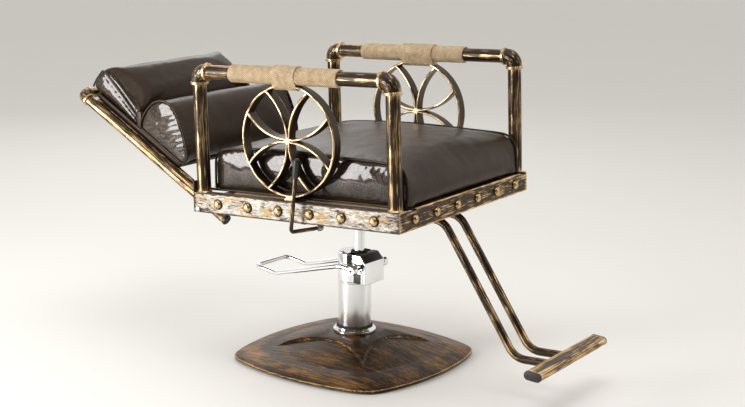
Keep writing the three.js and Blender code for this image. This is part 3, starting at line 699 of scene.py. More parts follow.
def cordMesh(name, path, place, radius, sides, material, closed=False):
    seed = bpy.data.meshes.new(name + "Path")
    points = [tuple((place @ Vector(p)) * mm) for p in path]
    edges = [(i, i + 1) for i in range(len(points) - 1)]
    if closed:
        edges.append((len(points) - 1, 0))
    seed.from_pydata(points, edges, [])
    made = grow(name, seed, cordTree, material, Radius=radius * mm, Sides=sides)
    faceOutwards(made)
    return made


# "profile" and "underside" are (radius, height); the arches lighten each side of the dome
dome = {
    "half": 263, "corner": 314, "sharpness": 24,
    "profile": [(44, 69), (54, 69), (99, 60), (153, 43.5), (212, 25.5), (230, 19.5), (257, 12), (263, 9)],
    "underside": [(263, 5), (257, 5), (255, 8), (211, 21), (151, 39), (97, 56), (44, 65)],
    "archCentre": 306, "archRadius": 218, "archStep": 7.5, "archSoft": 6.0, "ridge": 4.2,
}


def squareness(angle):
    half = dome["corner"] * math.sqrt(0.5)
    sagitta = dome["half"] - half
    arc = (half ** 2 + sagitta ** 2) / (2 * sagitta)
    setback = arc - dome["half"]
    total = 0
    for cosine in (abs(math.cos(angle)), abs(math.sin(angle))):
        side = math.sqrt(setback ** 2 * (cosine ** 2 - 1) + arc ** 2) - setback * cosine
        total += side ** -dome["sharpness"]
    return total ** (-1 / dome["sharpness"]) / dome["half"]


def smooth(value, low, high):
    t = min(1.0, max(0.0, (value - low) / (high - low)))
    return t * t * (3 - 2 * t)


def makeBase():
    sides = 256
    radii = [44, 50, 54] + list(np.linspace(58, 254, 84)) + [257, 260, 262, 263]
    zOf = lambda r: float(np.interp(r, *zip(*dome["profile"])))
    smoothZ = lambda r: sum(zOf(min(263, max(44, r + d))) for d in (-9, -6, -3, 0, 3, 6, 9)) / 7
    turn = [2 * math.pi * i / sides for i in range(sides)]
    stretch = [squareness(a) for a in turn]
    rows, flows, wears, borders = [], [], [], []

    def ring(r, z, detailed):
        row, worn, edge = [], [], []
        amount = smooth(r, 60, dome["half"])
        for angle, factor in zip(turn, stretch):
            reach = r * (1 + (factor - 1) * amount)
            x, y = reach * math.cos(angle), reach * math.sin(angle)
            drop, rimWear, line = 0.0, 0.0, 0.0
            if detailed:
                u, v = max(abs(x), abs(y)), min(abs(x), abs(y))
                outside = dome["archRadius"] - math.hypot(u - dome["archCentre"], v)
                beyond = smooth(outside, -dome["archSoft"] / 2, dome["archSoft"] / 2)
                fade = smooth(235 - r, 0, 70)
                drop = dome["archStep"] * beyond * fade
                along = smooth(205 - reach, 0, 30) * smooth(abs(u - v), 8, 34)
                line = math.exp(-(outside / 3.5) ** 2) * along * 0.7
                across = abs(u - v) * math.sqrt(0.5)
                along = smooth(r, 58, 80) * smooth(190 - r, 0, 80)
                drop -= dome["ridge"] * math.exp(-(across / 24) ** 2) * along
                rimWear = smooth(r, 258, 262)
            row.append((x, y, z - drop))
            worn.append(max(rimWear, line))
            edge.append(smooth(r, 206, 216) * (1 - 0.6 * smooth(r, 246, 256)))
        rows.append(row)
        flows.append([(x * mm, y * mm, z * mm) for x, y, z in row])
        wears.append(worn)
        borders.extend(edge)

    for r in radii:
        ring(r, smoothZ(r) if 56 < r < 255 else zOf(r), True)
    for r, z in dome["underside"]:
        ring(r, z, False)
    form = Form().grid(rows, flows, wears, closeAlong=True)
    mesh = meshOf("baseDome", form, pumpFrame)
    if len(mesh.vertices) == len(borders):
        storeNumbers(mesh, "border", borders)
    finishPiece("baseDome", mesh, baseBronze, "base", "base_cover")


makeBase()
print("base ready")

pump = {"ramBack": -12, "armX": 62, "axisY": -40, "axisZ": 242, "rod": 5.75}


def makePump():
    flange = lathe(
        [(41.5, 69.3), (53, 69.3), (54.3, 70.5), (54.3, 74.5), (53, 76.2), (49.5, 78), (48.8, 80.8),
         (47.5, 81.6), (43.5, 81.6), (42.4, 80.5), (41.5, 80.2), (41.5, 69.3)], 96)
    makePiece("pumpFlange", flange, pumpFrame, polished, "base", "pump_flange", sharp=30)
    seal = lathe(
        [(42.1, 78), (46, 78), (46.4, 80), (46, 84.5), (43.5, 86.5), (42.1, 86.5), (42.1, 78)], 96)
    makePiece("tubeSeal", seal, pumpFrame, rubber, "base", sharp=30)
    tube = lathe(
        [(0, 14), (41.6, 14), (42, 15), (42, 198.2), (41.2, 199), (41.2, 201), (38, 201), (0, 201)], 128)
    makePiece("pumpTube", tube, pumpFrame, satin, "base", "pump_tube", sharp=30)
    barrel = lathe(
        [(0, 201.6), (43, 201.6), (43.8, 202.4), (43.8, 203.4), (43.3, 203.9), (44, 204.6), (44, 272.6),
         (43.3, 274.3), (41.6, 275), (30, 275), (0, 275)], 128)
    outline = [(0, 275), (0, 203), (-62, 203), (-62, 258), (-45, 275)]
    head = Form().join(barrel).join(solidOf(outline, -39, 39, 1.6))
    for sign in (-1, 1):
        cheek = solidOf([(-24, 203.4), (-24, 233), (-54, 233), (-54, 203.4)], 38 * sign, 41 * sign, 0.8)
        slot = solidOf([(-27, 204.4), (-27, 230), (-50, 230), (-50, 204.4)], 40 * sign, 41.5 * sign, 0.3)
        head.join(cheek)
        name = "headSlotLeft" if sign > 0 else "headSlotRight"
        makePiece(name, slot, pumpFrame, blackPlastic, "base")
    makePiece("pumpHead", head, pumpFrame, polished, "base", "pump_head", sharp=30)
    facet = solidOf([(-42, 276), (-60.5, 257.6), (-61.7, 258.8), (-44, 276.6)], -36, 36, 0.4)
    cap = solidOf([(-29, 274.6), (-29, 276.4), (-45, 276.4), (-46, 274.6)], -36, 36, 0.5)
    facet.join(cap)
    makePiece("headFacet", facet, pumpFrame, blackPlastic, "base", "pump_head_insert", sharp=30)
    gland = lathe([(14.5, 275.2), (21, 275.2), (21, 277.6), (19.6, 279.2), (14.5, 279.2), (14.5, 275.2)], 64)
    behind = pumpFrame @ Matrix.Translation((0, pump["ramBack"], 0))
    makePiece("ramGland", gland, behind, rubber, "base", "ram_gland", sharp=30)
    ram = lathe(
        [(0, 104), (16.5, 104), (16.5, 120), (14, 120), (14, 385), (12.2, 411), (0, 411)], 96)
    makePiece("ramRod", ram, behind, polished, "ram", "ram", sharp=30)
    x, y, z = pump["armX"], pump["axisY"], pump["axisZ"]
    corners = [(-x, y + 8, z + 2), (-x, 2, 248), (-x, 212, 193), (-x, 279, 203),
               (x, 279, 203), (x, 212, 193), (x, 2, 248), (x, y + 8, z + 2)]
    loop = sweep(roundPath(corners, 17, 10), circle(pump["rod"], 24), up=(1, 0, 0))
    for sign in (-1, 1):
        boss = lathe(
            [(3.2, -7), (3.2, -8), (10.8, -8), (12, -6.8), (12, 6.8), (10.8, 8), (3.2, 8), (3.2, 7)], 48)
        loop.join(boss, at((sign * x, y, z), 90, "Y"))
    makePiece("pedal", loop, pumpFrame, polished, "pedal", "pump_pedal", sharp=30)
    axle = lathe([(0, -71), (3.1, -71), (3.1, 71), (0, 71)], 32)
    place = pumpFrame @ at((0, y, z), 90, "Y")
    makePiece("pedalAxle", axle, place, blackPlastic, "base", "pedal_pin", sharp=30, slot="steel")


makePump()
print("pump ready")

seatSize = {
    "halfWidth": 300, "front": -310, "rear": 281, "height": 49, "member": 25,
    "studCount": 6, "sidePitch": 90, "frontPitch": 94.4, "sideMiddle": -17,
    "crossLength": 549.4, "crossY": 196.5,
}


def member(length, mitreStart, mitreEnd):
    # box tube along +Y from 0, 25 wide in X (outer face at +X) and 49 high, with mitred ends
    section, wear = roundedRectangle(seatSize["height"], seatSize["member"], 1.8, 2.6)
    half = seatSize["member"] / 2
    mouth = [0, 0.7, 4, 12]
    marks = mouth + [length * k / 8 for k in range(1, 8)] + [length - m for m in reversed(mouth)]
    shade = [1, 0.9, 0.4] + [0] * 9 + [0.4, 0.9, 1]
    rows, flows, wears = [], [], []
    for mark, extra in zip(marks, shade):
        share = mark / length
        row, flow = [], []
        for a, b in section:
            first = mitreStart * (half - b)
            last = length - mitreEnd * (half - b)
            y = first + (last - first) * share
            row.append((b, y, a + seatSize["height"] / 2))
            flow.append((a * mm, b * mm, y * mm))
        rows.append(row)
        flows.append(flow)
        wears.append([min(1, w + extra) for w in wear])
    return Form().grid(rows, flows, wears)


def studForm():
    profile = [(0, -1), (14.0, -1), (13.6, 0.5), (12.1, 1.0), (11.0, 0.9),
               (10.9, 2.4), (9.9, 4.9), (7.6, 7.0), (4.1, 8.2), (0, 8.6)]
    # the flat skirt round the foot of the stud is given wear -1.5, which paints it dark
    wear = [-1.5, -1.5, -1.5, -1.5, -1.5, -0.2, 0.7, 1, 1, 1]
    form = lathe(profile, 20, wear)
    for i, (x, y, z) in enumerate(form.points):
        if z > 2:
            lump = noise.noise(Vector((x, y, z)) * 0.23) * 0.5
            form.points[i] = (x * (1 + 0.05 * lump), y * (1 + 0.05 * lump), z + lump * 0.8)
    return form


def makeSeatFrame():
    size = seatSize
    half, width = size["halfWidth"] - size["member"] / 2, 2 * size["halfWidth"]
    stud = studForm()
    pitches = {"left": size["sidePitch"], "right": size["sidePitch"], "front": size["frontPitch"]}
    for label, sign in bothSides.items():
        form = member(size["rear"] - size["front"], 1, 0)
        if sign < 0:
            form.points = [(-x, y, z) for x, y, z in form.points]
        plate = solidOf([(281, 0), (281, 76), (285, 76), (285, 0)], sign * 275, sign * 300, 1.2)
        whole = Form().join(form, Matrix.Translation((sign * half, size["front"], 0))).join(plate)
        if sign < 0:
            tab = solidOf([(-44, -3), (-44, 0.6), (-32, 0.6), (-32, -3)], -292, -225, 0.6)
            whole.join(tab)
        makePiece("frameSide" + label.title(), whole, seatFrame, champagneSide, "seat", "frame_side_" + label)
    front = member(width, 1, 1)
    place = seatFrame @ at((-size["halfWidth"], size["front"] + size["member"] / 2, 0), -90)
    makePiece("frameFront", front, place, bronzeFront, "seat", "frame_front")
    rear = member(size["crossLength"], 0, 0)
    place = seatFrame @ at((-size["crossLength"] / 2, size["crossY"], 0), -90)
    makePiece("frameRear", rear, place, bronzeFront, "seat", "frame_rear")
    studMesh = meshOf("stud", stud, Matrix.Scale(1000, 4))  # kept in millimetres for the row
    middle = size["height"] / 2
    for label, pitch in pitches.items():
        span = pitch * (size["studCount"] - 1)
        if label == "front":
            first, step, turn = (-span / 2, size["front"], middle), (pitch, 0, 0), (math.pi / 2, 0, 0)
        else:
            sign = bothSides[label]
            first = (sign * size["halfWidth"], size["sideMiddle"] - span / 2, middle)
            step, turn = (0, pitch, 0), (0, sign * math.pi / 2, 0)
        made = grow("studs" + label.title(), studMesh, rowTree, bronzeStud,
                    Count=size["studCount"], First=first, Step=step, Turn=turn)
        made.transform(Matrix.Scale(mm, 4) @ seatFrame)
        finishPiece("studs" + label.title(), made, bronzeStud, "seat")


makeSeatFrame()
print("seat frame ready")

armSize = {
    "pipe": 16.85, "railX": 281, "railZ": 341, "frontY": -288, "rearY": 264, "reach": 30,
    "elbow": 19.3, "bead": 22, "beadWidth": 7,
}
wheelSize = {"radius": 133, "bar": 6, "width": 28, "y": -2.5, "spokes": 4, "bow": 1.066}
ropeSize = {
    "strand": 1.75, "lay": 3.35, "from": -148, "to": 163, "lashDrop": 31, "lashFoot": 15.5,
    "core": 18.6, "lash": {"left": (-57, 38), "right": (-32, 34)},
}


def elbowForm(reach, body, bead, beadWidth):
    # legs run to -Z and +Y from the corner, with a rounded bead at each mouth
    bend = reach - beadWidth
    mouth = [(reach, bead - 1.0, 1), (reach - 0.8, bead, 1), (reach - beadWidth + 1.2, bead, 1),
             (bend, bead - 1.3, 0.8), (bend - 0.4, body, 0.2)]
    stations = [(0, -away, radius, shade) for away, radius, shade in mouth]
    for k in range(1, 16):
        t = k / 16
        stations.append((bend * t ** 2, -bend * (1 - t) ** 2, body, 0.25 * math.sin(math.pi * t)))
    stations += [(away, 0, radius, shade) for away, radius, shade in reversed(mouth)]
    path = [(0, y, z) for y, z, _, _ in stations]
    ends = [(shade, radius / body) for _, _, radius, shade in stations]
    return sweep(path, circle(body, 40), None, ends)


def ringPath(radius, steps=112):
    return [(0, y, z) for y, z in circle(radius, steps)]


def barSection(width, thickness):
    section, wear = roundedRectangle(width, thickness, 2.3, 3, 4)
    thinFace = [0.85 if abs(a) > width / 2 - 2.0 else 0.3 * w for (a, _), w in zip(section, wear)]
    return section, thinFace


def makeWheel(label, sign):
    size = wheelSize
    middle = size["radius"] - size["bar"] / 2
    height = armSize["railZ"] - armSize["pipe"] - size["radius"] - 0.3
    place = seatFrame @ Matrix.Translation((sign * armSize["railX"], size["y"], height))
    section, wear = barSection(size["width"], size["bar"])
    ring = sweep(ringPath(middle), section, wear, closed=True)
    low = 49.3 - height
    foot = [(-16, low), (16, low), (16, low + 4), (8, 2 - size["radius"]), (-8, 2 - size["radius"]),
            (-16, low + 4)]
    ring.join(solidOf(foot, -14, 14, 1.2))
    title = label.title()
    makePiece("wheelRing" + title, ring, place, bronzeWheel, "seat", "wheel_ring_" + label)
    inner = size["radius"] - size["bar"]
    bow = size["bow"] * size["radius"]
    centre = bow + size["bar"] / 2 - 0.8
    reach = math.acos((inner ** 2 - centre ** 2 - bow ** 2) / (-2 * centre * bow)) + 0.006
    angles = [math.pi - reach + 2 * reach * i / 40 for i in range(41)]
    path = [(0, centre + bow * math.cos(a), bow * math.sin(a)) for a in angles]
    spoke = meshOf("spoke", sweep(path, section, wear), Matrix.Scale(1000, 4))
    made = grow("wheelSpokes" + title, spoke, wheelTree, bronzeWheel, Count=size["spokes"])
    made.transform(Matrix.Scale(mm, 4) @ place)
    made.set_sharp_from_angle(angle=math.radians(40))
    finishPiece("wheelSpokes" + title, made, bronzeWheel, "seat", "wheel_arcs_" + label)
    hub = lathe([(0, -15), (6.4, -15), (7.4, -14), (7.4, 14), (6.4, 15), (0, 15)], 32, [1, 1, 1, 0.3, 1, 1])
    makePiece("wheelHub" + title, hub, place @ at((0, 0, 0), 90, "Y"), bronzeCast, "seat")


def wrapPath(size, begin, finish, loop):
    # a closed loop outline (x, z) wound from begin to finish along Y
    steps = len(loop)
    turns = int(round((finish - begin) / size["lay"]))
    path = []
    for i in range(turns * steps + 1):
        x, z = loop[i % steps]
        wander = noise.noise(Vector((i * 0.013, begin * 0.1, 3.1))) * 0.5
        path.append((x, begin + (finish - begin) * i / (turns * steps) + wander, z))
    return path


def makeRope(label, sign):
    size = ropeSize
    place = seatFrame @ Matrix.Translation((sign * armSize["railX"], 0, armSize["railZ"]))
    radius = armSize["pipe"] + 1.0 + size["strand"]
    path = wrapPath(size, size["from"] + 1, size["to"] - 1, circle(radius, 22))
    made = cordMesh("ropeWinding" + label.title(), path, place, size["strand"], 7, juteCord)
    finishPiece("ropeWinding" + label.title(), made, juteCord, "seat", "rope_wrap_" + label)
    top, foot = radius + 2 * size["strand"] - 0.3, size["lashFoot"]
    over = [math.pi * k / 14 for k in range(15)]
    under = [math.pi + math.pi * k / 10 for k in range(11)]
    loop = [(top * math.cos(a), top * math.sin(a)) for a in over]
    loop += [(foot * math.cos(a), -size["lashDrop"] + 15.0 + foot * math.sin(a)) for a in under]
    first, last = size["lash"][label]
    path = wrapPath(size, first, last, loop)
    made = cordMesh("ropeLashing" + label.title(), path, place, size["strand"] * 1.05, 7, juteCord)
    finishPiece("ropeLashing" + label.title(), made, juteCord, "seat")
    core = pipe((0, size["from"] + 1, 0), (0, size["to"] - 1, 0), size["core"] + 0.6, 32, 2)
    corner = [(x * 0.93, z * 0.94) for x, z in loop]
    block = Form().grid(
        [[(x, y, z) for x, z in corner] for y in (first + 1, last - 1)],
        [[(0, 0, 0)] * len(corner)] * 2, [[0.0] * len(corner)] * 2)
    makePiece("ropeCore" + label.title(), core.join(block), place, juteCord, "seat")


def makeArm(label, sign):
    size = armSize
    name = label.title()
    x = sign * size["railX"]
    top = size["railZ"] - size["reach"] + 4
    for where, y, turn in (("Front", size["frontY"], 0), ("Rear", size["rearY"], 180)):
        post = pipe((x, y, 49.3), (x, y, top), size["pipe"], 40)
        corner, node = where + name, where.lower() + "_" + label
        makePiece("armPost" + corner, post, seatFrame, bronzePipe, "seat", "arm_post_" + node)
        profile = [(16.5, 49.1), (19.6, 49.1), (18.6, 50.6), (17.2, 52.2), (16.5, 52.4), (16.5, 49.1)]
        weld = lathe(profile, 36, [1] * len(profile))
        makePiece("postWeld" + corner, weld, seatFrame @ at((x, y, 0)), bronzeCast, "seat")
        elbow = elbowForm(size["reach"], size["elbow"], size["bead"], size["beadWidth"])
        place = seatFrame @ at((x, y, size["railZ"]), turn)
        makePiece("armElbow" + corner, elbow, place, bronzeCast, "seat", "arm_elbow_" + node)
    begin, end = size["frontY"] + size["reach"] - 4, size["rearY"] - size["reach"] + 4
    rail = pipe((x, begin, size["railZ"]), (x, end, size["railZ"]), size["pipe"], 40)
    makePiece("armRail" + name, rail, seatFrame, bronzeRail, "seat", "arm_rail_" + label)
    makeWheel(label, sign)
    makeRope(label, sign)


for label, sign in bothSides.items():
    makeArm(label, sign)
print("arms ready")

footSize = {
    "tubeX": 38, "tube": 9.75, "tubeZ": -19, "level": -333.5,
    "bar": (0, -572, -325), "barTurn": 0.12, "half": 167,
}


def makeFootrest():
    size = footSize
    for label, sign in bothSides.items():
        x = sign * size["tubeX"]
        high, low = size["tubeZ"], size["level"]
        path = roundPath([(x, -125, high), (x, -266, high), (x, -456, low), (x, -550, low)], 30, 12)
        fine = [path[0]]
        for a, b in zip(path, path[1:]):
            parts = max(1, int((b - a).length / 30))
            fine += [a + (b - a) * k / parts for k in range(1, parts + 1)]
        tube = sweep(fine, circle(size["tube"], 28))
        makePiece("footTube" + label.title(), tube, seatFrame, bronzePipe, "seat", "footrest_tube_" + label)
    section, wear = roundedRectangle(21, 44, 10.4, 8, 8)
    wear = [0.55 * w for w in wear]
    half = size["half"]
    marks = [-half, -half + 3, -half + 12, -half / 2, 0, half / 2, half - 12, half - 3, half]
    shade = [0.9, 0.6, 0.1, 0, 0, 0, 0.1, 0.6, 0.9]
    bar = sweep([(m, 0, 0) for m in marks], section, wear, [(s, 1) for s in shade], up=(0, 0, 1))
    place = seatFrame @ Matrix.Translation(size["bar"]) @ Matrix.Rotation(size["barTurn"], 4, "X")
    makePiece("footBar", bar, place, bronzeBar, "seat", "footbar")
    for label, sign in bothSides.items():
        path = [(sign * (half + out), 0, 0) for out in (0.2, 4, 5.6, 6)]
        wider = [(a * 1.02, b * 1.01) for a, b in section]
        cap = sweep(path, wider, None, [(0, 1), (0, 1), (0, 0.96), (0, 0.88)], up=(0, 0, 1))
        makePiece("footCap" + label.title(), cap, place, blackPlastic, "seat", "footbar_cap_" + label)


makeFootrest()
print("footrest ready")

leverSize = {
    "rod": 4.75, "top": (-322, -49, 157), "bend": (-322, -24, -17), "end": (-219, -40, -24), "grip": 45,
    "bearingAt": 92,
}


def turnTo(direction, place):
    return Matrix.Translation(place) @ Vector(direction).to_track_quat("Z", "Y").to_matrix().to_4x4()


def makeLever():
    size = leverSize
    top, bend, end = Vector(size["top"]), Vector(size["bend"]), Vector(size["end"])
    up = (top - bend).normalized()
    low = top - up * size["grip"]
    corners = [low + up * 18, bend, end]
    rod = sweep(roundPath(corners, 11, 8), circle(size["rod"], 20), up=(0, 1, 0))
    makePiece("reclineLever", rod, seatFrame, bronzePipe, "lever", "recline_lever")
    grip = lathe([(0, 0), (6.4, 0), (7.2, 0.8), (8.1, 3), (7.8, 5), (8.5, 8), (8.7, 22),
                  (8.5, 38), (7.6, 43), (5.4, 45), (0, 45)], 32)
    place = seatFrame @ turnTo(up, low)
    makePiece("leverGrip", grip, place, blackPlastic, "lever", "recline_lever_grip", sharp=60)
    run = (end - bend).normalized()
    place = seatFrame @ turnTo(run, bend + run * size["bearingAt"])
    makePiece("leverBearing", washer(5.2, 7.5, 8, 32), place, steel, "seat", sharp=30)
    route = [(-208, -60, 4), (-150, -92, 2), (-40, -104, -6), (40, -90, -16), (60, -64, -35)]
    path = []
    for i in range(len(route) - 1):
        p = [Vector(route[max(0, min(len(route) - 1, i + k))]) for k in (-1, 0, 1, 2)]
        for k in range(10):
            path.append(between(p, k / 10))
    path.append(Vector(route[-1]))
    cable = sweep(path, circle(2.5, 14), up=(0, 0, 1))
    makePiece("releaseCable", cable, seatFrame, blackPlastic, "seat", "release_cable")


makeLever()
print("lever ready")

springSize = {"x": 60, "pinY": -38.0, "pinZ": -35.0, "lugAngle": 235, "lugReach": 50}
backSize = {
    "tubeX": 250, "out": -2.8, "tube": 12.25, "top": 483, "end": -52, "reach": 26,
    "railX": 227.5, "rail": 9.3, "boardHalf": 233, "board": ((140, 452), (9, 22)),
}


def makeBackFrame():
    size = backSize
    up = size["top"] - size["reach"]
    for label, sign in bothSides.items():
        x, out = sign * size["tubeX"], size["out"]
        tube = pipe((x, size["end"], out), (x, up + 3, out), size["tube"], 36)
        title = label.title()
        makePiece("backTube" + title, tube, backFrame, bronzeBack, "back", "back_tube_" + label)
        cap = lathe([(0, -0.3), (12.6, -0.3), (12.9, -1), (12.9, -5.5), (11.6, -7), (0, -7)], 36)
        place = backFrame @ turnTo((0, 1, 0), (x, size["end"], out))
        makePiece("tubeCap" + title, cap, place, blackPlastic, "back", "back_tube_cap_" + label, sharp=30)
        elbow = elbowForm(size["reach"], 14.8, 17, 6)
        place = backFrame @ Matrix(((0, -sign, 0, x), (0, 0, 1, size["top"]), (-1, 0, 0, out), (0, 0, 0, 1)))
        makePiece("backElbow" + title, elbow, place, bronzeCast, "back", "back_elbow_" + label)
    half = size["tubeX"] - size["reach"] + 3
    bar = pipe((-half, size["top"], size["out"]), (half, size["top"], size["out"]), size["tube"], 36)
    makePiece("backTopBar", bar, backFrame, bronzeBack, "back", "back_top_bar")
    cross = size["tubeX"] - size["tube"] - 0.3
    inner = pipe((-cross, 0, 0), (cross, 0, 0), 11, 32)
    for sign in (1, -1):
        x = sign * size["railX"]
        inner.join(pipe((x, 0, -1), (x, 446, -1), size["rail"], 28))
    # two lugs and a pin for the gas spring
    turn = Matrix.Rotation(math.radians(springSize["lugAngle"] - lean + 90), 4, "X")
    lug = [(-9, 0), (9, 0), (9, -50), (6, -57), (0, -60), (-6, -57), (-9, -50)]
    middle, low = springSize["x"], -springSize["lugReach"]
    for x in (middle - 9, middle + 9):
        inner.join(solidOf(lug, x - 2.5, x + 2.5, 0.6), turn)
    inner.join(pipe((middle - 11, 0, low), (middle + 11, 0, low), 4, 20, 1), turn)
    makePiece("innerFrame", inner, backFrame, bronzeFront, "back", "back_inner_frame")
    (low, high), (near, far) = size["board"]
    outline = [(low, near), (high, near), (high, far), (low, far)]
    form = solidOf(outline, -size["boardHalf"], size["boardHalf"], 3.5, 4)
    makePiece("backBoard", form, backFrame, glossLeather, "back", "back_board", sharp=60)


def makeSpring():
    pinY, pinZ, reach = springSize["pinY"], springSize["pinZ"], springSize["lugReach"]
    angle = math.radians(springSize["lugAngle"])
    run = Vector((0, pivot[1] + reach * math.cos(angle) - pinY, pivot[2] + reach * math.sin(angle) - pinZ))
    length = run.length
    place = seatFrame @ turnTo(run, (springSize["x"], pinY, pinZ))
    barrel = lathe([(0, 13), (9.5, 13), (11, 15), (11, 173.5), (10, 175), (0, 175)], 40)
    side = Matrix.Rotation(math.pi / 2, 4, "Y")
    barrel.join(washer(4.6, 9, 6, 32), side).join(solidOf([(-6, 6), (6, 6), (6, 15), (-6, 15)], -4, 4, 0.5))
    makePiece("springCylinder", barrel, place, steel, "spring_cylinder", "gas_spring_cylinder", sharp=30)
    stem = lathe([(0, 170), (5, 170), (5, length - 9), (0, length - 9)], 32)
    stem.join(washer(9, 12.5, 5, 40), Matrix.Translation((0, 0, length)) @ side)
    makePiece("springRod", stem, place, polished, "spring_rod", "gas_spring_rod", sharp=30)


makeBackFrame()
makeSpring()
print("back frame ready")

# pads: a long panel wrapped round an end panel, with piping on the seams
backPad = {"half": 233, "inset": 3, "voxel": 5.0, "floor": 22.5, "place": backFrame, "body": "back"}
padShapes = {
    "seatCushion": {
        "outline": [(-285, 50), (226, 50), (242, 52), (246, 64), (246, 104), (244, 128), (234, 143),
                    (206, 153), (100, 159), (-20, 160), (-150, 155), (-245, 151), (-282, 145),
                    (-300, 126), (-305, 100), (-305, 66), (-301, 52)],
        "half": 259, "inset": 4, "voxel": 7.0, "floor": 50, "place": seatFrame, "body": "seat",
        "node": "seat_cushion", "edge": 7, "cap": 22, "crown": 4, "dip": 0, "piping": 3.0,
        "fill": 0.85, "seed": 11.0,
    },
    "headPad": {
        "outline": [(318, 22.5), (462, 22.5), (477, 23.5), (481, 33), (478, 58), (473, 82), (464, 93),
                    (448, 96), (410, 94), (360, 86), (326, 79), (312, 72), (307, 60), (308, 40), (311, 26)],
        "seamLine": [(478, 24), (477, 50), (471, 76), (458, 82), (434, 76), (400, 67), (360, 55),
                     (325, 45), (309, 40)],
        "node": "head_pad", "edge": 11, "cap": 14, "crown": 12, "dip": 7, "piping": 2.4,
        "fill": 0.8, "seed": 23.0, **backPad,
    },
    "backBolster": {
        "outline": [(146, 22.5), (286, 22.5), (296, 33), (299, 58), (294, 90), (279, 116), (250, 131),
                    (218, 126), (182, 102), (151, 73), (133, 48), (134, 30)],
        "node": "back_bolster", "edge": 5, "cap": 12, "crown": 6, "dip": 1, "piping": 3.0,
        "fill": 0.9, "seed": 37.0, **backPad,
    },
}
loopPoints = 160  # points round each pad outline
clothFrames = 20  # frames of cloth simulation, after which the pressure has settled
clothPressure = 4.0
wrinkle = {"soft": 0.0016, "pull": 0.0007, "pucker": 0.0006, "puckerReach": 26, "seamDraw": 0.004}


def smoothLoop(points, count):
    # a closed smooth loop, resampled to equal steps
    points = [Vector((0, *p)) for p in points]
    size = len(points)
    dense = []
    for i in range(size):
        p = [points[(i + k) % size] for k in (-1, 0, 1, 2)]
        for k in range(12):
            dense.append(between(p, k / 12))
    steps = [(dense[(i + 1) % len(dense)] - dense[i]).length for i in range(len(dense))]
    total = np.concatenate([[0], np.cumsum(steps)])
    marks = np.linspace(0, total[-1], count, endpoint=False)
    ys = np.interp(marks, total, [d.y for d in dense] + [dense[0].y])
    zs = np.interp(marks, total, [d.z for d in dense] + [dense[0].z])
    return np.stack([ys, zs], 1)


def shrinkLoop(loop, amount):  # moved inwards by an equal distance all round
    ahead = np.roll(loop, -2, 0) - np.roll(loop, 2, 0)
    normal = np.stack([ahead[:, 1], -ahead[:, 0]], 1) / np.linalg.norm(ahead, axis=1, keepdims=True)
    outward = ((loop - loop.mean(0)) * normal).sum() > 0
    return loop - normal * (amount if outward else -amount)


def distanceTo(loop, points, closed=True):
    nextPoint = np.roll(loop, -1, 0)
    if not closed:
        loop, nextPoint = loop[:-1], nextPoint[:-1]
    edge = nextPoint - loop
    away = points[:, None, :] - loop[None]
    t = np.clip((away * edge).sum(2) / (edge ** 2).sum(1), 0, 1)
    return np.linalg.norm(away - t[:, :, None] * edge, axis=2).min(1)


def startPad(name, shape):
    loop = smoothLoop(shape["outline"], loopPoints)
    half, edge, inset = shape["half"], shape["edge"], shape["inset"]
    # the rounded end, then the body pulled in so that it can swell
    turn = np.linspace(0, math.pi / 2, 6)
    stations = [(half - edge * (1 - math.cos(a)), edge * (1 - math.sin(a))) for a in turn]
    for k in range(1, 14):
        x = (half - edge) * (1 - k / 14)
        stations.append((x, inset * smooth(half - edge - x, 0, 40)))
    stations = stations + [(0.0, inset)] + [(-x, amount) for x, amount in reversed(stations)]
    centre = loop.mean(0)
    rows = []
    for x, amount in [(half, None)] + stations + [(-half, None)]:
        ring = centre + (loop - centre) * 0.02 if amount is None else shrinkLoop(loop, amount)
        rows.append([(x, y, max(z, shape["floor"])) for y, z in ring])
    blank = [[(0, 0, 0)] * loopPoints] * len(rows)
    form = Form().grid(rows, blank, [[0.0] * loopPoints] * len(rows))
    mesh = bpy.data.meshes.new(name)
    mesh.from_pydata((np.array(form.points) * mm).tolist(), [], form.faces)
    piece = show(name, mesh)
    remesh = piece.modifiers.new("remesh", "REMESH")
    remesh.mode = "VOXEL"
    remesh.voxel_size = shape["voxel"] * mm
    piece.data = applied(piece)
    piece.modifiers.clear()
    return piece, loop


def readPoints(mesh):
    points = np.zeros(len(mesh.vertices) * 3, np.float32)
    mesh.vertices.foreach_get("co", points)
    return points.reshape(-1, 3).astype(float)


def inflate(piece, cap, held):
    group = piece.vertex_groups.new(name="held")
    for index in np.nonzero(held > 0.01)[0]:
        group.add([int(index)], float(held[index]), "REPLACE")
    cloth = piece.modifiers.new("cloth", "CLOTH")
    settings = cloth.settings
    settings.quality = 5
    settings.mass = 0.3
    settings.tension_stiffness = settings.compression_stiffness = 12
    settings.shear_stiffness = 6
    settings.bending_stiffness = 0.4
    settings.use_pressure = True
    settings.uniform_pressure_force = clothPressure
    settings.effector_weights.gravity = 0
    settings.vertex_group_mass = "held"
    cloth.collision_settings.use_collision = False
    before = readPoints(piece.data)
    for step in range(1, clothFrames + 1):
        scene.frame_set(step)
    graph = bpy.context.evaluated_depsgraph_get()
    after = readPoints(piece.evaluated_get(graph).data)
    piece.modifiers.clear()
    piece.vertex_groups.clear()
    scene.frame_set(1)
    move = after - before
    size = np.linalg.norm(move, axis=1, keepdims=True)
    return before + move * np.minimum(1, cap * mm / np.maximum(size, 1e-9))


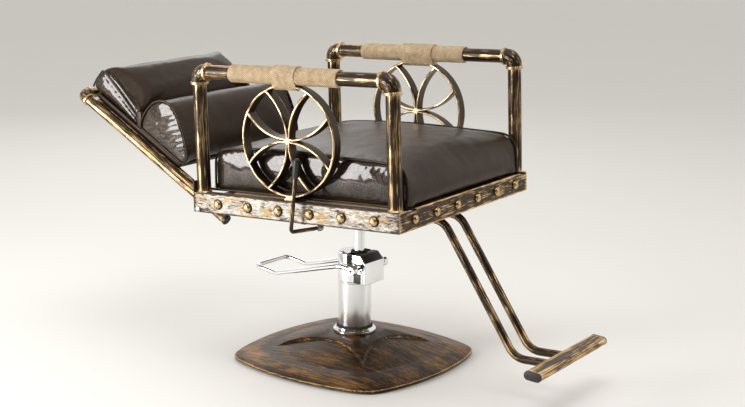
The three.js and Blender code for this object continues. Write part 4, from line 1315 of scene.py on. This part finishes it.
def smoothPoints(mesh, points, rounds, keep):
    edges = np.zeros(len(mesh.edges) * 2, np.int32)
    mesh.edges.foreach_get("vertices", edges)
    edges = edges.reshape(-1, 2)
    degree = np.bincount(edges.ravel(), minlength=len(points))[:, None]
    for _ in range(rounds):
        total = np.zeros_like(points)
        for axis in range(3):
            total[:, axis] = np.bincount(edges[:, 0], points[edges[:, 1], axis], len(points))
            total[:, axis] += np.bincount(edges[:, 1], points[edges[:, 0], axis], len(points))
        points = points + (total / degree - points) * 0.5 * (1 - keep[:, None])
    return points


def wrinkleAt(point, side, seam, seed):  # how far a point stands out, from its distance to the seam
    x, y, z = point
    soft = noise.noise(Vector((x * 9 + seed, y * 9, z * 9))) * wrinkle["soft"]
    pull = noise.noise(Vector((x * 34, y * 34 + seed, z * 34))) * wrinkle["pull"]
    near = math.exp(-(seam / wrinkle["puckerReach"]) ** 2)
    wander = 3 * noise.noise(Vector((x * 20, y * 20, z * 20)))
    pucker = math.sin(side[0] * 0.33 + side[1] * 0.29 + wander)
    return soft + pull + near * pucker * wrinkle["pucker"]


def makePiping(name, shape, points, track, closed):
    for label, sign in bothSides.items():
        path = []
        for y, z in track:
            near = (np.hypot(points[:, 1] / mm - y, points[:, 2] / mm - z) < 7) & (points[:, 0] * sign > 0)
            out = np.abs(points[near, 0]).max() / mm if near.any() else shape["half"]
            path.append([sign * (out - 0.4), y, z])
        reach = np.array([p[0] for p in path])
        for _ in range(6):
            if closed:
                reach = (np.roll(reach, 1) + np.roll(reach, -1) + 2 * reach) / 4
            else:
                reach[1:-1] = (reach[:-2] + reach[2:] + 2 * reach[1:-1]) / 4
        path = [(float(r), float(q[1]), float(q[2])) for r, q in zip(reach, path)]
        title = name + "Piping" + label.title()
        made = cordMesh(title, path, shape["place"], shape["piping"], 10, glossLeather, closed)
        finishPiece(title, made, glossLeather, shape["body"])


def makePad(name, shape):
    piece, loop = startPad(name, shape)
    mesh = piece.data
    points = readPoints(mesh)
    x, side = np.abs(points[:, 0]) / mm, points[:, 1:] / mm
    edgeDistance = distanceTo(loop, side)
    half = shape["half"]
    line = np.array(shape["seamLine"], float) if "seamLine" in shape else None
    if line is None:
        seam = np.hypot(np.maximum(half - x, 0) * 0.9, edgeDistance)
    else:
        seam = np.hypot(np.maximum(half - x, 0) * 0.9, distanceTo(line, side, False))
    held = np.clip(1.3 - seam / 9, 0, 1)
    flat = side[:, 1] < shape["floor"] + 3
    held[flat] = 1.0
    points = inflate(piece, shape["cap"], held)
    across = np.minimum(x / half, 1)
    lift = shape["crown"] * (1 - across ** 2) - shape["dip"] * np.clip(across * 8 - 7, 0, 1)
    points[:, 2] += lift * mm * np.clip((side[:, 1] - shape["floor"]) / 60, 0, 1)
    points[:, 2] = np.maximum(points[:, 2], shape["floor"] * mm)
    points = smoothPoints(mesh, points, 3, np.clip(held * 0.6, 0, 1))
    mesh.vertices.foreach_set("co", points.astype(np.float32).ravel())
    mesh.update()
    normals = np.zeros(len(points) * 3, np.float32)
    mesh.vertices.foreach_get("normal", normals)
    normals = normals.reshape(-1, 3)
    push = np.array([wrinkleAt(p, q, near, shape["seed"]) for p, q, near in zip(points, side, seam)])
    push[flat] = 0
    push *= 1 - np.clip(held, 0, 1)
    points = points + normals * push[:, None]
    if line is not None:  # the seam is drawn in, so both bands of the end stand out beside it
        draw = np.exp(-(distanceTo(line, side, False) / 8) ** 2) * np.clip((x - half + 20) / 14, 0, 1)
        points[:, 0] -= np.sign(points[:, 0]) * draw * wrinkle["seamDraw"]
    mesh.vertices.foreach_set("co", points.astype(np.float32).ravel())
    # the pad ends: where the leather crazes, and where its colour is painted darker as shade
    storeNumbers(mesh, "craze", np.clip((x - half + 10) / 12, 0, 1))
    mesh.transform(Matrix.Scale(mm, 4) @ shape["place"] @ Matrix.Scale(1000, 4))
    piece.modifiers.new("smoother", "SUBSURF").levels = 1
    done = settled(piece, name)
    pad = finishPiece(name, done, glossLeather, shape["body"], shape["node"])
    if line is None:
        track = loop.copy()
    else:
        marks = np.linspace(0, len(line) - 1, 70)
        track = np.stack([np.interp(marks, range(len(line)), line[:, k]) for k in (0, 1)], 1)
    track[:, 1] = np.maximum(track[:, 1], shape["floor"] + shape["piping"] * 0.6)
    makePiping(name, shape, points, track, line is None)
    print(name, "ready:", len(done.polygons), "faces")


for name, shape in padShapes.items():
    makePad(name, shape)
for label, sign in bothSides.items():  # a short strap that closes the gap between the two back pads
    strap = solidOf([(288, 23.5), (303, 23.5), (322, 58), (306, 62)], sign * 226, sign * 236, 1.5)
    makePiece("padStrap" + label.title(), strap, backFrame, glossLeather, "back")

# parts that stay as packed get only a finish
keptFinishes = {
    "base_weight": castIron, "base_foot_ring": rubber, "pump_cylinder": steel,
    "seat_beam_front": bronzeSolid, "seat_beam_rear": bronzeSolid, "seat_mount": steel, "seat_board": board,
    "pivot_bolt_left": steel, "pivot_bolt_right": steel,
}
for name, material in keptFinishes.items():
    slots = nodes[name].data.materials
    slots.clear()
    slots.append(material)
print("kept parts finished")
